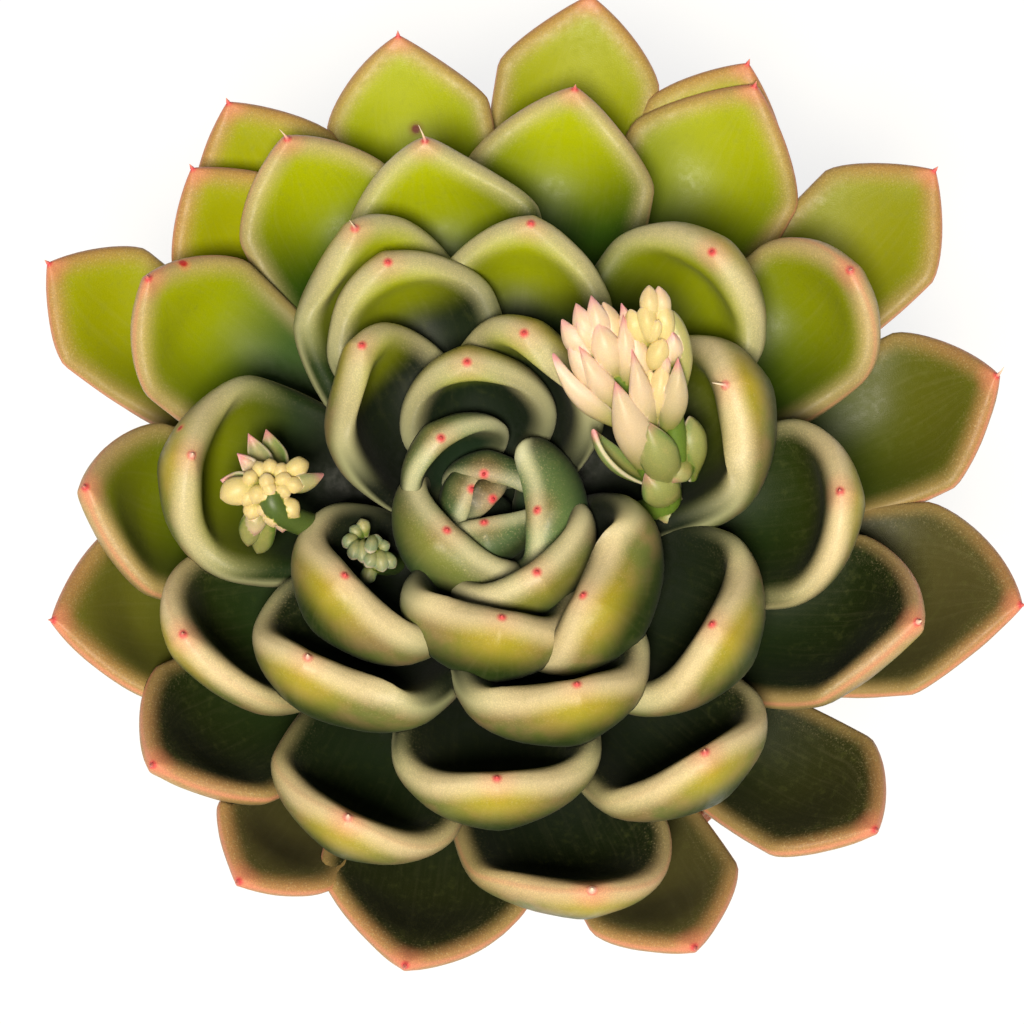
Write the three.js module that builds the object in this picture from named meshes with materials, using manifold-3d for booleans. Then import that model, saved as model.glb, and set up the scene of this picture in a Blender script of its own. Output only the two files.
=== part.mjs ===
// A rosette succulent with three young shoots, growing on a short stem in a plain clay pot.
// Millimetres, +Z up, origin at the centre of the pot's foot. The viewer stands on the -Y side.
import * as THREE from "three";
import { mergeVertices } from "three/addons/utils/BufferGeometryUtils.js";
import { ParametricGeometry } from "three/addons/geometries/ParametricGeometry.js";
import Module from "manifold-3d";

const wasm = await Module();
wasm.setup();

// Pot, soil and stem
const POT_HEIGHT = 44;
const POT_RIM_RADIUS = 35;
const POT_RIM_HEIGHT = 11;
const POT_RIM_LEDGE = 4;
const POT_FOOT_RADIUS = 24;
const POT_WALL = 3;
const POT_FLOOR = 4;
const POT_EDGE = 0.8;
const SOIL_DROP = 3;
const SOIL_DOME = 1.2;
const SOIL_SHOULDER = { radius: 0.6, height: 0.7 };
const STEM_RADIUS = 4.4;
const STEM_DEPTH = 12;
const GAP = 0.3;
const ROUND_SIDES = 32;
const STEM_SIDES = 12;

// Height of the lowest leaf's foot over the ground, and of the stem's tip over that foot
const CROWN_FOOT = 46;
const CROWN_HEIGHT = 20;
// The stem's outline above that foot: share of the height, share of the radius
const STEM_TAPER = [[0.25, 1], [0.65, 0.8], [0.97, 0.5], [1, 0]];
// Where the leaves' feet sit on the stem, from the heart leaf to the outermost one
const HEART_FOOT = { radius: 2.2, height: 21 };
const OUTER_FOOT = { radius: 6, height: 2 };

// How the rosette is seen: places in the list below are millimetres right and up of its heart,
// as they show from this far away and this high above the horizon.
const VIEW_ELEVATION = THREE.MathUtils.degToRad(72);
const VIEW_DISTANCE = 300;
const HEART = new THREE.Vector3(0, 0, 26);
const TOWARD = new THREE.Vector3(0, -Math.cos(VIEW_ELEVATION), Math.sin(VIEW_ELEVATION));
const UPWARD = new THREE.Vector3(0, Math.sin(VIEW_ELEVATION), Math.cos(VIEW_ELEVATION));
const TIP_PASSES = 20;

// Leaves from the heart outwards: [right, up] of the tip as seen, width, thickness,
// turn of the leaf away from its tip's bearing, and lean of its end above the horizontal (degrees).
const LEAVES = [
  [0.3, -0.7, 6.5, 2.8, 160, 116],
  [-0.6, 1.8, 10, 3.6, -20, 112],
  [-1.8, 0.3, 9, 3.4, 0, 110],
  [-0.6, -3.0, 11, 4.2, 20, 112],
  [4.7, -1.8, 15.5, 7.0, 24, 118],
  [-4.9, 5.4, 13.5, 5.0, -4, 100],
  [-4.3, -3.8, 16.5, 6.8, 0, 108],
  [4.7, -8.0, 17, 6.5, 9, 90],
  [-2.3, 13.0, 16.5, 7.4, -8, 95],
  [3.4, 15.9, 18, 7.4, -24, 99],
  [1.2, -12.5, 18.5, 8.4, -14, 114],
  [9.3, -10.3, 20.5, 9.6, 24, 124],
  [-12.8, 14.7, 17.5, 6.8, 24, 88],
  [-14.5, -8.3, 19.5, 8.4, 6, 118],
  [-10.2, 23.0, 19, 7.6, -3, 92],
  [8.7, -19.2, 20.5, 8.4, -9, 114],
  [4.1, 26.9, 19, 7.4, -3, 84],
  [23.5, 10.7, 21, 9.4, -8, 122],
  [-18.2, -16.5, 22, 7.8, 16, 110],
  [22.2, -13.2, 22, 8.8, 3, 118],
  [-13.5, 26.4, 19.5, 7.6, 18, 86],
  [-29.8, 3.7, 22.5, 8.0, -4, 112],
  [0.7, -28.6, 21.5, 8.0, 1, 110],
  [22.2, 24.0, 20.5, 8.6, 0, 108],
  [-6.5, 35.2, 22, 7.0, -10, 72],
  [35.0, 0.1, 20.5, 7.6, 0, 104],
  [21.5, -26.0, 20.5, 7.8, -5, 113],
  [-30.7, -14.2, 20, 7.2, 8, 88],
  [-14.2, -32.5, 20.5, 7.4, -4, 104],
  [8.5, 40.4, 21, 6.6, -3, 68],
  [-20.3, 35.4, 18.5, 6.6, 0, 74],
  [10.2, -39.8, 21.5, 7.0, -12, 94],
  [36.0, 22.2, 19, 7.4, 0, 97],
  [-34.2, 21.4, 18.5, 6.4, 0, 78],
  [-40.5, 0.5, 19.5, 6.4, 6, 74],
  [42.8, -13.0, 20.5, 6.4, -14, 70],
  [-9.2, 45.7, 18.5, 6.0, -8, 52],
  [26.5, 40.7, 21, 6.0, 0, 58],
  [-33.8, -27.3, 19, 6.0, 5, 62],
  [-8.5, -47.4, 22, 5.8, -5, 56],
  [38.6, -33.8, 16.5, 5.8, -7, 54],
  [50.8, 11.7, 19, 6.0, -5, 58],
  [10.0, 49.7, 18.5, 5.6, 4, 46],
  [-26.2, 39.0, 18, 5.6, 0, 50],
  [-44.2, 22.9, 16, 5.6, 2, 48],
  [-43.8, -12.8, 20, 5.6, 0, 48],
  [44.5, 32.2, 17.5, 5.6, 0, 44],
  [53.2, -11.3, 22.5, 5.6, -12, 46],
  [20.5, -45.6, 16.5, 5.4, 0, 54],
  [-25.2, -39.0, 14.5, 5.4, -8, 50],
  [25.8, 42.9, 17, 5.4, 0, 46],
  [-29.8, 32.4, 17, 5.4, 0, 46],
];

// Height of the leaf tips over the crown's foot, by their distance from the axis
const TIP_HEIGHTS = [
  [0, 24], [3, 25], [8, 28], [15, 31], [24, 31], [34, 29], [44, 24], [52, 17], [60, 14],
];
// Radius that a leaf is cupped to, by the same distance
const CUP_RADII = [[0, 7], [3, 9.5], [8, 13], [15, 15], [25, 17], [40, 22], [60, 28]];
// Rise of a leaf at its foot in degrees, by rank from the heart (0) to the outermost leaf (1)
const FOOT_RISES = [[0, 72], [0.1, 62], [0.25, 48], [0.45, 32], [0.65, 18], [1, 0]];

const HEART_LEAVES = 8;

// How far a leaf follows its foot's and its tip's direction, as a share of its reach. It follows
// the tip's further as it leans further back over the heart.
const FOOT_HANDLE = 0.38;
const TIP_HANDLE = 0.34;
const CUPPED_TIP_HANDLE = 0.44;
const CUPPED_LEANS = { from: 90, to: 125 };
// Shares of a leaf's thickness on its outer and inner side of its margins, depth of the hollow in
// its inner side, where along the leaf that hollow fills up and how far, and height and half width
// of the ridge that runs down from the tip
const OUTER_SHARE = 0.68;
const INNER_SHARE = 0.42;
const HOLLOW = 0.52;
const HOLLOW_END = { from: 0.74, to: 0.96 };
const TIP_FILL = 0.85;
const KEEL = 0.3;
const KEEL_WIDTH = 0.22;
// Share of the thickness that the outer and inner sides lose towards the tip
const OUTER_THINNING = 0.42;
const INNER_THINNING = 0.1;
const THINNING_START = 0.62;
// Exponents of the cross-section's two sides: a box (0), a circle (1), a ridge with flat flanks (2)
const OUTER_SECTION = 1.15;
const INNER_SECTION = 0.8;
// Width and thickness of a leaf at its foot, as a share of its greatest, and how late it opens
const FOOT_WIDTH = 0.26;
const FOOT_THICKNESS = 0.28;
const OPENING_POWER = 1.25;
// Exponents of the outline's end, on leaves that lean far and on those that lie out flat
const BLUNT_TIP = { power: 1.9, root: 0.66 };
const POINTED_TIP = { power: 1.4, root: 0.93 };
// The same of a bract, how far along it is widest, and its width at its foot
const BRACT_TIP = { power: 1.35, root: 1.1, widest: 0.42, foot: 0.6 };
const POINTED_LEANS = { from: 100, to: 62 };
// How much the cross-sections crowd towards the tip
const CROWDING = 1.6;

// Rise of a leaflet's foot and lean of its tip in degrees: one that goes straight on has 90 for both
const LEAFLET_RISE = 72;
const LEAFLET_LEAN = 112;
const LEAFLET_CUP = 0.9;
// The shoots. Places are [right, up] as seen, and each shoot's heights go with how far up they are.
// A stalk runs through its places, and the first one of a shoot starts at the stem.
// A leaflet is [right, up] of its tip, the tip's height over the shoot's, [right, up] of its foot,
// width, thickness, roll of its outer side away from the viewer in degrees, and how pointed it is.
const LARGE_SHOOT = {
  heights: [[-4, 20.5], [-1.6, 22], [4.5, 28], [17, 36.5], [21, 39]],
  stem: [[4.9, 0, 9], [10, 0, 14]],
  stalks: [
    { radius: 1.5, places: [[17.0, -1.6], [17.2, 1.2]] },
    { radius: 1.2, places: [[17.2, 0.4], [15.3, 3.6], [13.9, 8.2], [11.4, 15.0]] },
    { radius: 1.2, places: [[17.2, 0.4], [18.6, 3.6], [18.0, 8.4], [16.6, 16.8]] },
  ],
  leaflets: [
    [8.6, 18.9, -0.3, 11.2, 13.6, 2.6, 1.3, -25, 0.6],
    [7.2, 17.3, 0.0, 11.0, 12.6, 2.7, 1.3, -45, 0.6],
    [10.1, 19.7, -0.2, 11.8, 13.4, 2.6, 1.3, -5, 0.7],
    [11.3, 19.0, -0.9, 12.6, 13.2, 2.4, 1.4, 25, 0.4],
    [10.7, 17.1, 0.9, 12.8, 10.8, 3.0, 1.6, 0, 0.5],
    [7.8, 15.3, 0.4, 12.8, 9.0, 3.1, 1.5, -40, 0.7],
    [6.3, 13.9, 0.6, 13.8, 6.2, 2.8, 1.5, -55, 0.9],
    [8.9, 14.8, 1.2, 13.4, 7.8, 2.7, 1.5, -20, 0.9],
    [12.5, 11.1, 2.6, 16.2, 1.6, 3.9, 1.8, -12, 0.7],
    [14.2, 14.3, 1.9, 15.9, 5.2, 2.8, 1.5, 0, 0.9],
    [13.3, 17.8, 0.6, 13.9, 9.8, 2.2, 1.3, 0, 0.8],
    [13.8, 16.7, 0.3, 15.6, 9.2, 2.7, 1.3, 20, 0.7],
    [10.3, 6.3, 1.4, 16.4, 0.8, 3.2, 1.3, -125, 0.7],
    [15.9, 20.7, 0.4, 16.2, 16.3, 1.9, 1.5, -10, 0.3],
    [16.8, 20.6, 0.1, 17.1, 16.4, 1.8, 1.4, 25, 0.4],
    [14.0, 18.3, 0.6, 15.9, 14.4, 2.0, 1.4, -40, 0.2],
    [15.5, 18.7, 1.2, 16.1, 14.6, 1.9, 1.5, -5, 0],
    [17.4, 18.6, 0.9, 17.0, 14.2, 1.9, 1.4, 35, 0],
    [17.4, 15.3, 1.8, 16.0, 12.2, 2.1, 1.6, 0, 0.2],
    [17.9, 16.4, 1.1, 18.3, 12.4, 2.2, 1.3, 25, 0.8],
    [18.1, 18.2, -0.3, 19.2, 9.4, 2.0, 1.2, 45, 0.2],
    [18.8, 13.5, 2.2, 17.6, 5.6, 2.8, 1.5, 15, 0.8],
    [17.3, 12.7, 1.5, 16.7, 6.8, 2.4, 1.5, -10, 0.3],
    [15.6, 7.1, 2.4, 18.3, 0.2, 4.2, 1.8, -10, 0.5],
    [17.6, 1.0, 1.6, 20.2, 3.2, 2.7, 1.5, 0, 0.8],
    [15.5, 1.9, 1.8, 18.6, -1.2, 4.1, 1.7, -15, 0.5],
    [17.5, -3.6, 0.6, 18.3, -0.8, 3.2, 1.5, 0, 0.7],
    [19.9, 7.6, -1.2, 20.3, 1.2, 3.2, 1.4, 40, 0.3],
  ],
};
const SMALL_SHOOT = {
  heights: [[-6, 24], [-2.5, 27.5], [0.5, 29.5], [3, 29.5], [6.5, 27]],
  stem: [[-4.9, -0.5, 8], [-11, -2, 14]],
  stalks: [{ radius: 1.3, places: [[-20.4, -2.4], [-22.2, 0.9]] }],
  leaflets: [
    [-24.2, 5.9, 0.4, -22.0, 1.0, 2.6, 1.2, 180, 0.8],
    [-22.4, 6.3, -0.6, -21.0, 0.8, 3.0, 1.4, 180, 0.7],
    [-25.3, 3.9, 0.2, -22.8, 0.8, 2.1, 1.1, 160, 0.8],
    [-16.7, 1.9, -0.8, -21.0, 0.4, 2.1, 1.2, 40, 0.8],
    [-27.0, 1.2, -0.9, -23.0, 0.8, 2.2, 1.1, 180, 0.6],
    [-26.9, -0.6, -0.3, -23.2, 1.2, 2.8, 1.6, 0, 0.1],
    [-23.4, 3.0, 0.3, -22.4, 1.2, 1.4, 1.2, 0, 0],
    [-18.2, 2.9, -0.2, -21.0, 1.8, 1.9, 1.6, 0, 0],
    [-20.6, 2.9, 0.5, -21.4, 1.0, 1.4, 1.2, 0, 0],
    [-18.7, 0.5, 0.2, -20.9, 1.0, 1.6, 1.4, 0, 0],
    [-20.0, -0.4, 0.9, -21.3, 0.8, 1.4, 1.2, 0, 0],
    [-20.0, -1.5, 0.3, -21.9, -0.2, 1.7, 1.4, 0, 0],
    [-22.4, 1.9, 1.6, -22.2, 0.3, 1.5, 1.3, 0, 0],
    [-23.6, -1.2, 1.0, -22.9, 0.9, 1.7, 1.4, 0, 0.1],
    [-22.3, -2.5, 0.6, -22.9, -0.6, 1.6, 1.3, 0, 0.3],
    [-24.6, -1.4, 0.5, -23.6, 0.7, 1.4, 1.2, 0, 0.1],
    [-24.0, -2.7, 0.2, -23.4, -0.6, 1.8, 1.3, 0, 0.2],
    [-24.6, 1.9, 0.6, -23.2, 0.9, 1.6, 1.3, 0, 0],
    [-23.5, -4.2, -0.3, -23.3, -1.4, 2.2, 1.2, 0, 0.8],
    [-24.1, -5.2, -1.6, -23.6, -1.6, 2.4, 1.3, 0, 0.8],
    [-20.7, -3.9, -0.2, -20.9, -0.6, 2.5, 1.4, 0, 0.8],
    [-19.2, -2.4, 0.5, -21.0, -0.6, 2.1, 1.5, 0, 0.2],
    [-21.6, -3.5, 1.0, -22.0, -0.8, 1.9, 1.4, 0, 0.3],
    [-23.1, -5.9, -3.0, -21.6, -2.2, 2.2, 1.3, 0, 0.7],
  ],
};
const YOUNG_SHOOT = {
  heights: [[-10, 22.5], [-6, 24], [-3, 23.5]],
  stem: [[-4.9, -2, 12], [-8.5, -4, 15]],
  stalks: [{ radius: 1.2, places: [[-11.4, -7.0], [-12.0, -5.4]] }],
  leaflets: [
    [-14.7, -5.5, 0.8, -13.3, -4.3, 1.5, 1.1, 0, 0.1],
    [-13.8, -6.8, 1.6, -13.2, -4.8, 1.4, 1.1, 0, 0.1],
    [-12.8, -7.1, 1.6, -12.7, -4.7, 1.3, 1.1, 0, 0.2],
    [-12.1, -6.1, 2.2, -11.6, -4.6, 1.3, 1.1, 0, 0.1],
    [-12.4, -7.5, 2.0, -11.5, -6.2, 1.5, 1.2, 0, 0.1],
    [-10.7, -8.0, 1.6, -11.1, -5.7, 1.6, 1.3, 0, 0.1],
    [-9.5, -7.6, 1.0, -10.8, -5.9, 1.4, 1.2, 0, 0.1],
    [-12.6, -9.2, 0.4, -11.4, -6.8, 1.6, 1.2, 0, 0.1],
    [-11.4, -4.2, 1.6, -11.4, -5.6, 1.4, 1.2, 0, 0.1],
    [-14.0, -3.5, 0.6, -12.6, -4.5, 1.4, 1.1, 0, 0.1],
    [-12.9, -2.7, 0.6, -12.3, -4.5, 1.4, 1.1, 0, 0.1],
  ],
};

const LEAF_STEPS = 7;
const LEAF_SIDES = 8;
const LEAFLET_STEPS = 4;
const LEAFLET_SIDES = 5;
const STALK_SIDES = 5;

const LEAF_LOOK = { color: 0x9aa556, roughness: 0.45, metalness: 0 };
const HEART_LEAF_LOOK = { color: 0x6f8f5c, roughness: 0.45, metalness: 0 };
const BUD_LOOK = { color: 0xf0dfb8, roughness: 0.55, metalness: 0 };
const YOUNG_SHOOT_LOOK = { color: 0x7f9c62, roughness: 0.5, metalness: 0 };
const STEM_LOOK = { color: 0x8a7a55, roughness: 0.8, metalness: 0 };
const SOIL_LOOK = { color: 0x3b2c22, roughness: 0.95, metalness: 0 };
const POT_LOOK = { color: 0xb5653c, roughness: 0.85, metalness: 0 };

function table(rows, x) {
  const last = rows[rows.length - 1];
  if (x <= rows[0][0]) return rows[0][1];
  if (x >= last[0]) return last[1];
  const i = rows.findIndex((row) => row[0] > x);
  const [x0, y0] = rows[i - 1];
  const [x1, y1] = rows[i];
  return y0 + ((y1 - y0) * (x - x0)) / (x1 - x0);
}

function ease(from, to, x) {
  const t = THREE.MathUtils.clamp((x - from) / (to - from), 0, 1);
  return t * t * (3 - 2 * t);
}

function heading(azimuth, elevation) {
  const flat = Math.cos(elevation);
  return new THREE.Vector3(Math.cos(azimuth) * flat, Math.sin(azimuth) * flat, Math.sin(elevation));
}

// The point at a height over the crown's foot that the viewer sees at [right, up] of the heart
function seenAt(right, up, height) {
  const eye = HEART.clone().addScaledVector(TOWARD, VIEW_DISTANCE);
  const ray = new THREE.Vector3(right, 0, 0).addScaledVector(UPWARD, up);
  ray.addScaledVector(TOWARD, -VIEW_DISTANCE);
  return eye.addScaledVector(ray, (height - eye.z) / ray.z);
}

// The same, at the height that a leaf tip has there
function leafTip(right, up) {
  let tip = seenAt(right, up, HEART.z);
  for (let pass = 0; pass < TIP_PASSES; pass += 1) {
    tip = seenAt(right, up, table(TIP_HEIGHTS, Math.hypot(tip.x, tip.y)));
  }
  return tip;
}

// One geometry with its shared vertices merged, without collapsed triangles, faces pointing out
function closed(geometry) {
  geometry.deleteAttribute("normal");
  geometry.deleteAttribute("uv");
  const merged = mergeVertices(geometry, 1e-4);
  const position = merged.getAttribute("position");
  const corners = [];
  let volume = 0;
  const [a, b, c] = [new THREE.Vector3(), new THREE.Vector3(), new THREE.Vector3()];
  for (let i = 0; i < merged.index.count; i += 3) {
    const [p, q, r] = [merged.index.getX(i), merged.index.getX(i + 1), merged.index.getX(i + 2)];
    if (p === q || q === r || r === p) continue;
    corners.push([p, q, r]);
    a.fromBufferAttribute(position, p);
    b.fromBufferAttribute(position, q);
    c.fromBufferAttribute(position, r);
    volume += a.dot(b.cross(c));
  }
  const outward = corners.map(([p, q, r]) => (volume < 0 ? [p, r, q] : [p, q, r]));
  merged.setIndex(outward.flat());
  return merged;
}

function solid(geometry) {
  const vertProperties = Float32Array.from(geometry.getAttribute("position").array);
  const triVerts = Uint32Array.from(geometry.index.array);
  return new wasm.Manifold(new wasm.Mesh({ numProp: 3, vertProperties, triVerts }));
}

// The largest body of a cut solid, as a geometry: loose scraps are dropped
function largestBody(manifold) {
  const mesh = manifold.getMesh();
  const owner = Array.from({ length: mesh.numVert }, (_, i) => i);
  const root = (i) => {
    let top = i;
    while (owner[top] !== top) top = owner[top];
    owner[i] = top;
    return top;
  };
  const triangles = [];
  for (let i = 0; i < mesh.numTri; i += 1) {
    const [p, q, r] = mesh.verts(i);
    triangles.push([p, q, r]);
    owner[root(q)] = root(p);
    owner[root(r)] = root(p);
  }
  const at = (i) => new THREE.Vector3().fromArray(mesh.vertProperties, i * mesh.numProp);
  const volumes = new Map();
  for (const [p, q, r] of triangles) {
    const body = root(p);
    volumes.set(body, (volumes.get(body) ?? 0) + at(p).dot(at(q).cross(at(r))));
  }
  const [largest] = [...volumes.entries()].reduce((best, next) => (next[1] > best[1] ? next : best));
  const geometry = new THREE.BufferGeometry();
  const kept = triangles.filter(([p]) => root(p) === largest);
  const positions = kept.flat().flatMap((i) => at(i).toArray());
  geometry.setAttribute("position", new THREE.Float32BufferAttribute(positions, 3));
  return closed(geometry);
}

// The same shape, larger by a margin all over
function grown(geometry, margin) {
  const larger = geometry.clone();
  larger.computeVertexNormals();
  const position = larger.getAttribute("position");
  const normal = larger.getAttribute("normal");
  for (let i = 0; i < position.count; i += 1) {
    position.setXYZ(
      i,
      position.getX(i) + normal.getX(i) * margin,
      position.getY(i) + normal.getY(i) * margin,
      position.getZ(i) + normal.getZ(i) * margin,
    );
  }
  return larger;
}

// A thick boat-shaped leaf from its foot to its tip: hollow inner side, rounded outer side with a keel
function leafGeometry(form) {
  const { foot, tip, azimuth, rise, lean, width, thickness, pointed, cup, steps, sides } = form;
  const reach = foot.distanceTo(tip);
  const cupped = ease(CUPPED_LEANS.from, CUPPED_LEANS.to, lean);
  const tipHandle = THREE.MathUtils.lerp(TIP_HANDLE, CUPPED_TIP_HANDLE, cupped);
  const footDirection = heading(azimuth, THREE.MathUtils.degToRad(rise));
  const tipDirection = heading(azimuth, THREE.MathUtils.degToRad(lean));
  const midrib = new THREE.CubicBezierCurve3(
    foot,
    foot.clone().addScaledVector(footDirection, reach * FOOT_HANDLE),
    tip.clone().addScaledVector(tipDirection, -reach * tipHandle),
    tip,
  );
  const bluntWidest = Math.max(0.5, 1 - (0.5 * width) / midrib.getLength());
  const blunt = { ...BLUNT_TIP, widest: bluntWidest, foot: FOOT_WIDTH };
  const sharp = { ...blunt, ...form.sharp };
  const between = (key) => THREE.MathUtils.lerp(blunt[key], sharp[key], pointed);
  const [tipPower, tipRoot, widest, footWidth] = ["power", "root", "widest", "foot"].map(between);

  const halfWidth = (u) => {
    if (u < widest) {
      const opened = Math.sin((Math.PI / 2) * (u / widest)) ** OPENING_POWER;
      return (width / 2) * (footWidth + (1 - footWidth) * opened);
    }
    const s = (u - widest) / (1 - widest);
    return (width / 2) * (1 - s ** tipPower) ** tipRoot;
  };

  const surface = (along, around, target) => {
    const step = along * steps;
    const u = step <= 1 ? 0 : 1 - (1 - (step - 1) / (steps - 1)) ** CROWDING;
    midrib.getPointAt(u, target);
    if (step < 0.5 || u > 1 - 1e-6) return;
    const forward = midrib.getTangentAt(u);
    const sideways = new THREE.Vector3(-Math.sin(azimuth), Math.cos(azimuth), 0);
    sideways.addScaledVector(forward, -sideways.dot(forward)).normalize();
    const inward = new THREE.Vector3().crossVectors(forward, sideways);
    const filled = FOOT_THICKNESS + (1 - FOOT_THICKNESS) * ease(0, 0.5, u);
    const swell = thickness * filled * Math.sqrt(1 - u ** 9);
    const thinning = ease(THINNING_START, 1, u);
    const outerDepth = swell * OUTER_SHARE * (1 - OUTER_THINNING * thinning);
    const innerDepth = swell * INNER_SHARE * (1 - INNER_THINNING * thinning);
    const angle = 2 * Math.PI * around;
    const [cosine, sine] = [Math.cos(angle), Math.sin(angle)];
    const inner = sine > 1e-9;
    const power = inner ? INNER_SECTION : OUTER_SECTION;
    const across = Math.sign(cosine) * Math.abs(cosine) ** power;
    const depth = Math.abs(sine) ** power;
    const middle = Math.max(0, 1 - across ** 2) ** 1.5;
    const filling = 1 - TIP_FILL * ease(HOLLOW_END.from, HOLLOW_END.to, u);
    const hollow = HOLLOW * (outerDepth + innerDepth) * middle * ease(0.05, 0.4, u) * filling;
    const ridge = Math.exp(-((across / KEEL_WIDTH) ** 2));
    const keel = KEEL * ridge * ease(0.45, 0.85, u) * Math.sqrt(1 - u ** 8);
    const out = inner ? depth * innerDepth - hollow : -depth * outerDepth - keel;
    const bend = (across * halfWidth(u)) / cup;
    target.addScaledVector(sideways, (cup - out) * Math.sin(bend));
    target.addScaledVector(inward, cup - (cup - out) * Math.cos(bend));
  };
  return closed(new ParametricGeometry(surface, steps, sides));
}

// The leaf in one row of the list
function rosetteLeaf([right, up, width, thickness, turn, lean], rank) {
  const tip = leafTip(right, up);
  const reach = Math.hypot(tip.x, tip.y);
  const azimuth = Math.atan2(tip.y, tip.x) + THREE.MathUtils.degToRad(turn);
  const footRadius = THREE.MathUtils.lerp(HEART_FOOT.radius, OUTER_FOOT.radius, rank ** 0.6);
  const foot = heading(azimuth, 0).multiplyScalar(footRadius);
  foot.z = THREE.MathUtils.lerp(HEART_FOOT.height, OUTER_FOOT.height, rank ** 0.75);
  return leafGeometry({
    foot, tip, azimuth, lean, width, thickness,
    rise: table(FOOT_RISES, rank),
    pointed: ease(POINTED_LEANS.from, POINTED_LEANS.to, lean),
    cup: table(CUP_RADII, reach),
    sharp: POINTED_TIP,
    steps: LEAF_STEPS,
    sides: LEAF_SIDES,
  });
}

// A solid of revolution about +Z from [radius, height] points
function turned(profile, sides) {
  const points = profile.map(([radius, height]) => new THREE.Vector2(radius, height));
  const geometry = new THREE.LatheGeometry(points, sides);
  geometry.rotateX(Math.PI / 2);
  return closed(geometry);
}

// The pot's tapering wall, without its rim band
function outerPotRadius(height) {
  const taper = (POT_RIM_RADIUS - POT_RIM_LEDGE - POT_FOOT_RADIUS) / (POT_HEIGHT - POT_RIM_HEIGHT);
  return POT_FOOT_RADIUS + taper * height;
}

function innerPotRadius(height) {
  return outerPotRadius(height) - POT_WALL;
}

function potGeometry() {
  const wallTop = POT_HEIGHT - POT_RIM_HEIGHT;
  return turned([
    [0, 0],
    [POT_FOOT_RADIUS - POT_EDGE, 0],
    [POT_FOOT_RADIUS, POT_EDGE],
    [outerPotRadius(wallTop), wallTop],
    [POT_RIM_RADIUS - POT_EDGE, wallTop],
    [POT_RIM_RADIUS, wallTop + POT_EDGE],
    [POT_RIM_RADIUS, POT_HEIGHT - POT_EDGE],
    [POT_RIM_RADIUS - POT_EDGE, POT_HEIGHT],
    [innerPotRadius(POT_HEIGHT) + POT_EDGE, POT_HEIGHT],
    [innerPotRadius(POT_HEIGHT), POT_HEIGHT - POT_EDGE],
    [innerPotRadius(POT_FLOOR), POT_FLOOR],
    [0, POT_FLOOR],
  ], ROUND_SIDES);
}

function soilGeometry() {
  const edgeHeight = POT_HEIGHT - SOIL_DROP;
  const bottom = POT_FLOOR + GAP;
  const edgeRadius = innerPotRadius(edgeHeight) - GAP;
  const holeRadius = STEM_RADIUS + GAP;
  const holeBottom = CROWN_FOOT - STEM_DEPTH - GAP;
  return turned([
    [0, bottom],
    [innerPotRadius(bottom) - GAP, bottom],
    [edgeRadius, edgeHeight],
    [edgeRadius * SOIL_SHOULDER.radius, edgeHeight + SOIL_DOME * SOIL_SHOULDER.height],
    [holeRadius, edgeHeight + SOIL_DOME],
    [holeRadius, holeBottom],
    [0, holeBottom],
  ], ROUND_SIDES);
}

function stemGeometry() {
  return turned([
    [0, -STEM_DEPTH],
    [STEM_RADIUS, -STEM_DEPTH],
    ...STEM_TAPER.map(([height, radius]) => [STEM_RADIUS * radius, CROWN_HEIGHT * height]),
  ], STEM_SIDES);
}

// A round stalk through a few points
function stalk(points, radius) {
  const path = new THREE.CatmullRomCurve3(points);
  const corner = (_, i) => heading((i * 2 * Math.PI) / STALK_SIDES, 0).multiplyScalar(radius);
  const section = new THREE.Shape(Array.from({ length: STALK_SIDES }, corner));
  return closed(new THREE.ExtrudeGeometry(section, { steps: 2 * points.length - 2, extrudePath: path }));
}

// A leaflet, bract or bud in one row of a shoot's list
function leaflet([right, up, lift, footRight, footUp, width, thickness, roll, pointed], heights) {
  const tip = seenAt(right, up, table(heights, up) + lift);
  const foot = seenAt(footRight, footUp, table(heights, footUp));
  const chord = tip.clone().sub(foot);
  const length = chord.length();
  chord.normalize();
  const outward = TOWARD.clone().addScaledVector(chord, -chord.dot(TOWARD)).normalize();
  outward.applyAxisAngle(chord, THREE.MathUtils.degToRad(roll));
  const sideways = new THREE.Vector3().crossVectors(chord, outward);
  const geometry = leafGeometry({
    foot: new THREE.Vector3(),
    tip: new THREE.Vector3(0, 0, length),
    azimuth: 0,
    rise: LEAFLET_RISE,
    lean: LEAFLET_LEAN,
    width, thickness, pointed,
    cup: width * LEAFLET_CUP,
    sharp: BRACT_TIP,
    steps: LEAFLET_STEPS,
    sides: LEAFLET_SIDES,
  });
  geometry.applyMatrix4(new THREE.Matrix4().makeBasis(outward, sideways, chord).setPosition(foot));
  return geometry;
}

function joined(geometries) {
  return geometries.map(solid).reduce((sum, next) => sum.add(next));
}

// A shoot: its stalks with all its leaflets
function shootSolid({ heights, stem, stalks, leaflets }) {
  const start = stem.map((point) => new THREE.Vector3(...point));
  return joined([
    ...stalks.map(({ radius, places }, i) => {
      const points = places.map(([right, up]) => seenAt(right, up, table(heights, up)));
      return stalk(i === 0 ? [...start, ...points] : points, radius);
    }),
    ...leaflets.map((row) => leaflet(row, heights)),
  ]);
}

function add(group, name, geometry, look) {
  const mesh = new THREE.Mesh(geometry, new THREE.MeshStandardMaterial(look));
  mesh.name = name;
  group.add(mesh);
}

const group = new THREE.Group();
add(group, "pot", potGeometry(), POT_LOOK);
add(group, "soil", soilGeometry(), SOIL_LOOK);

// The plant grows with its lowest leaf's foot at this height
const plant = new THREE.Group();
plant.position.z = CROWN_FOOT;
group.add(plant);

const stem = stemGeometry();
add(plant, "stem", stem, STEM_LOOK);

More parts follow.
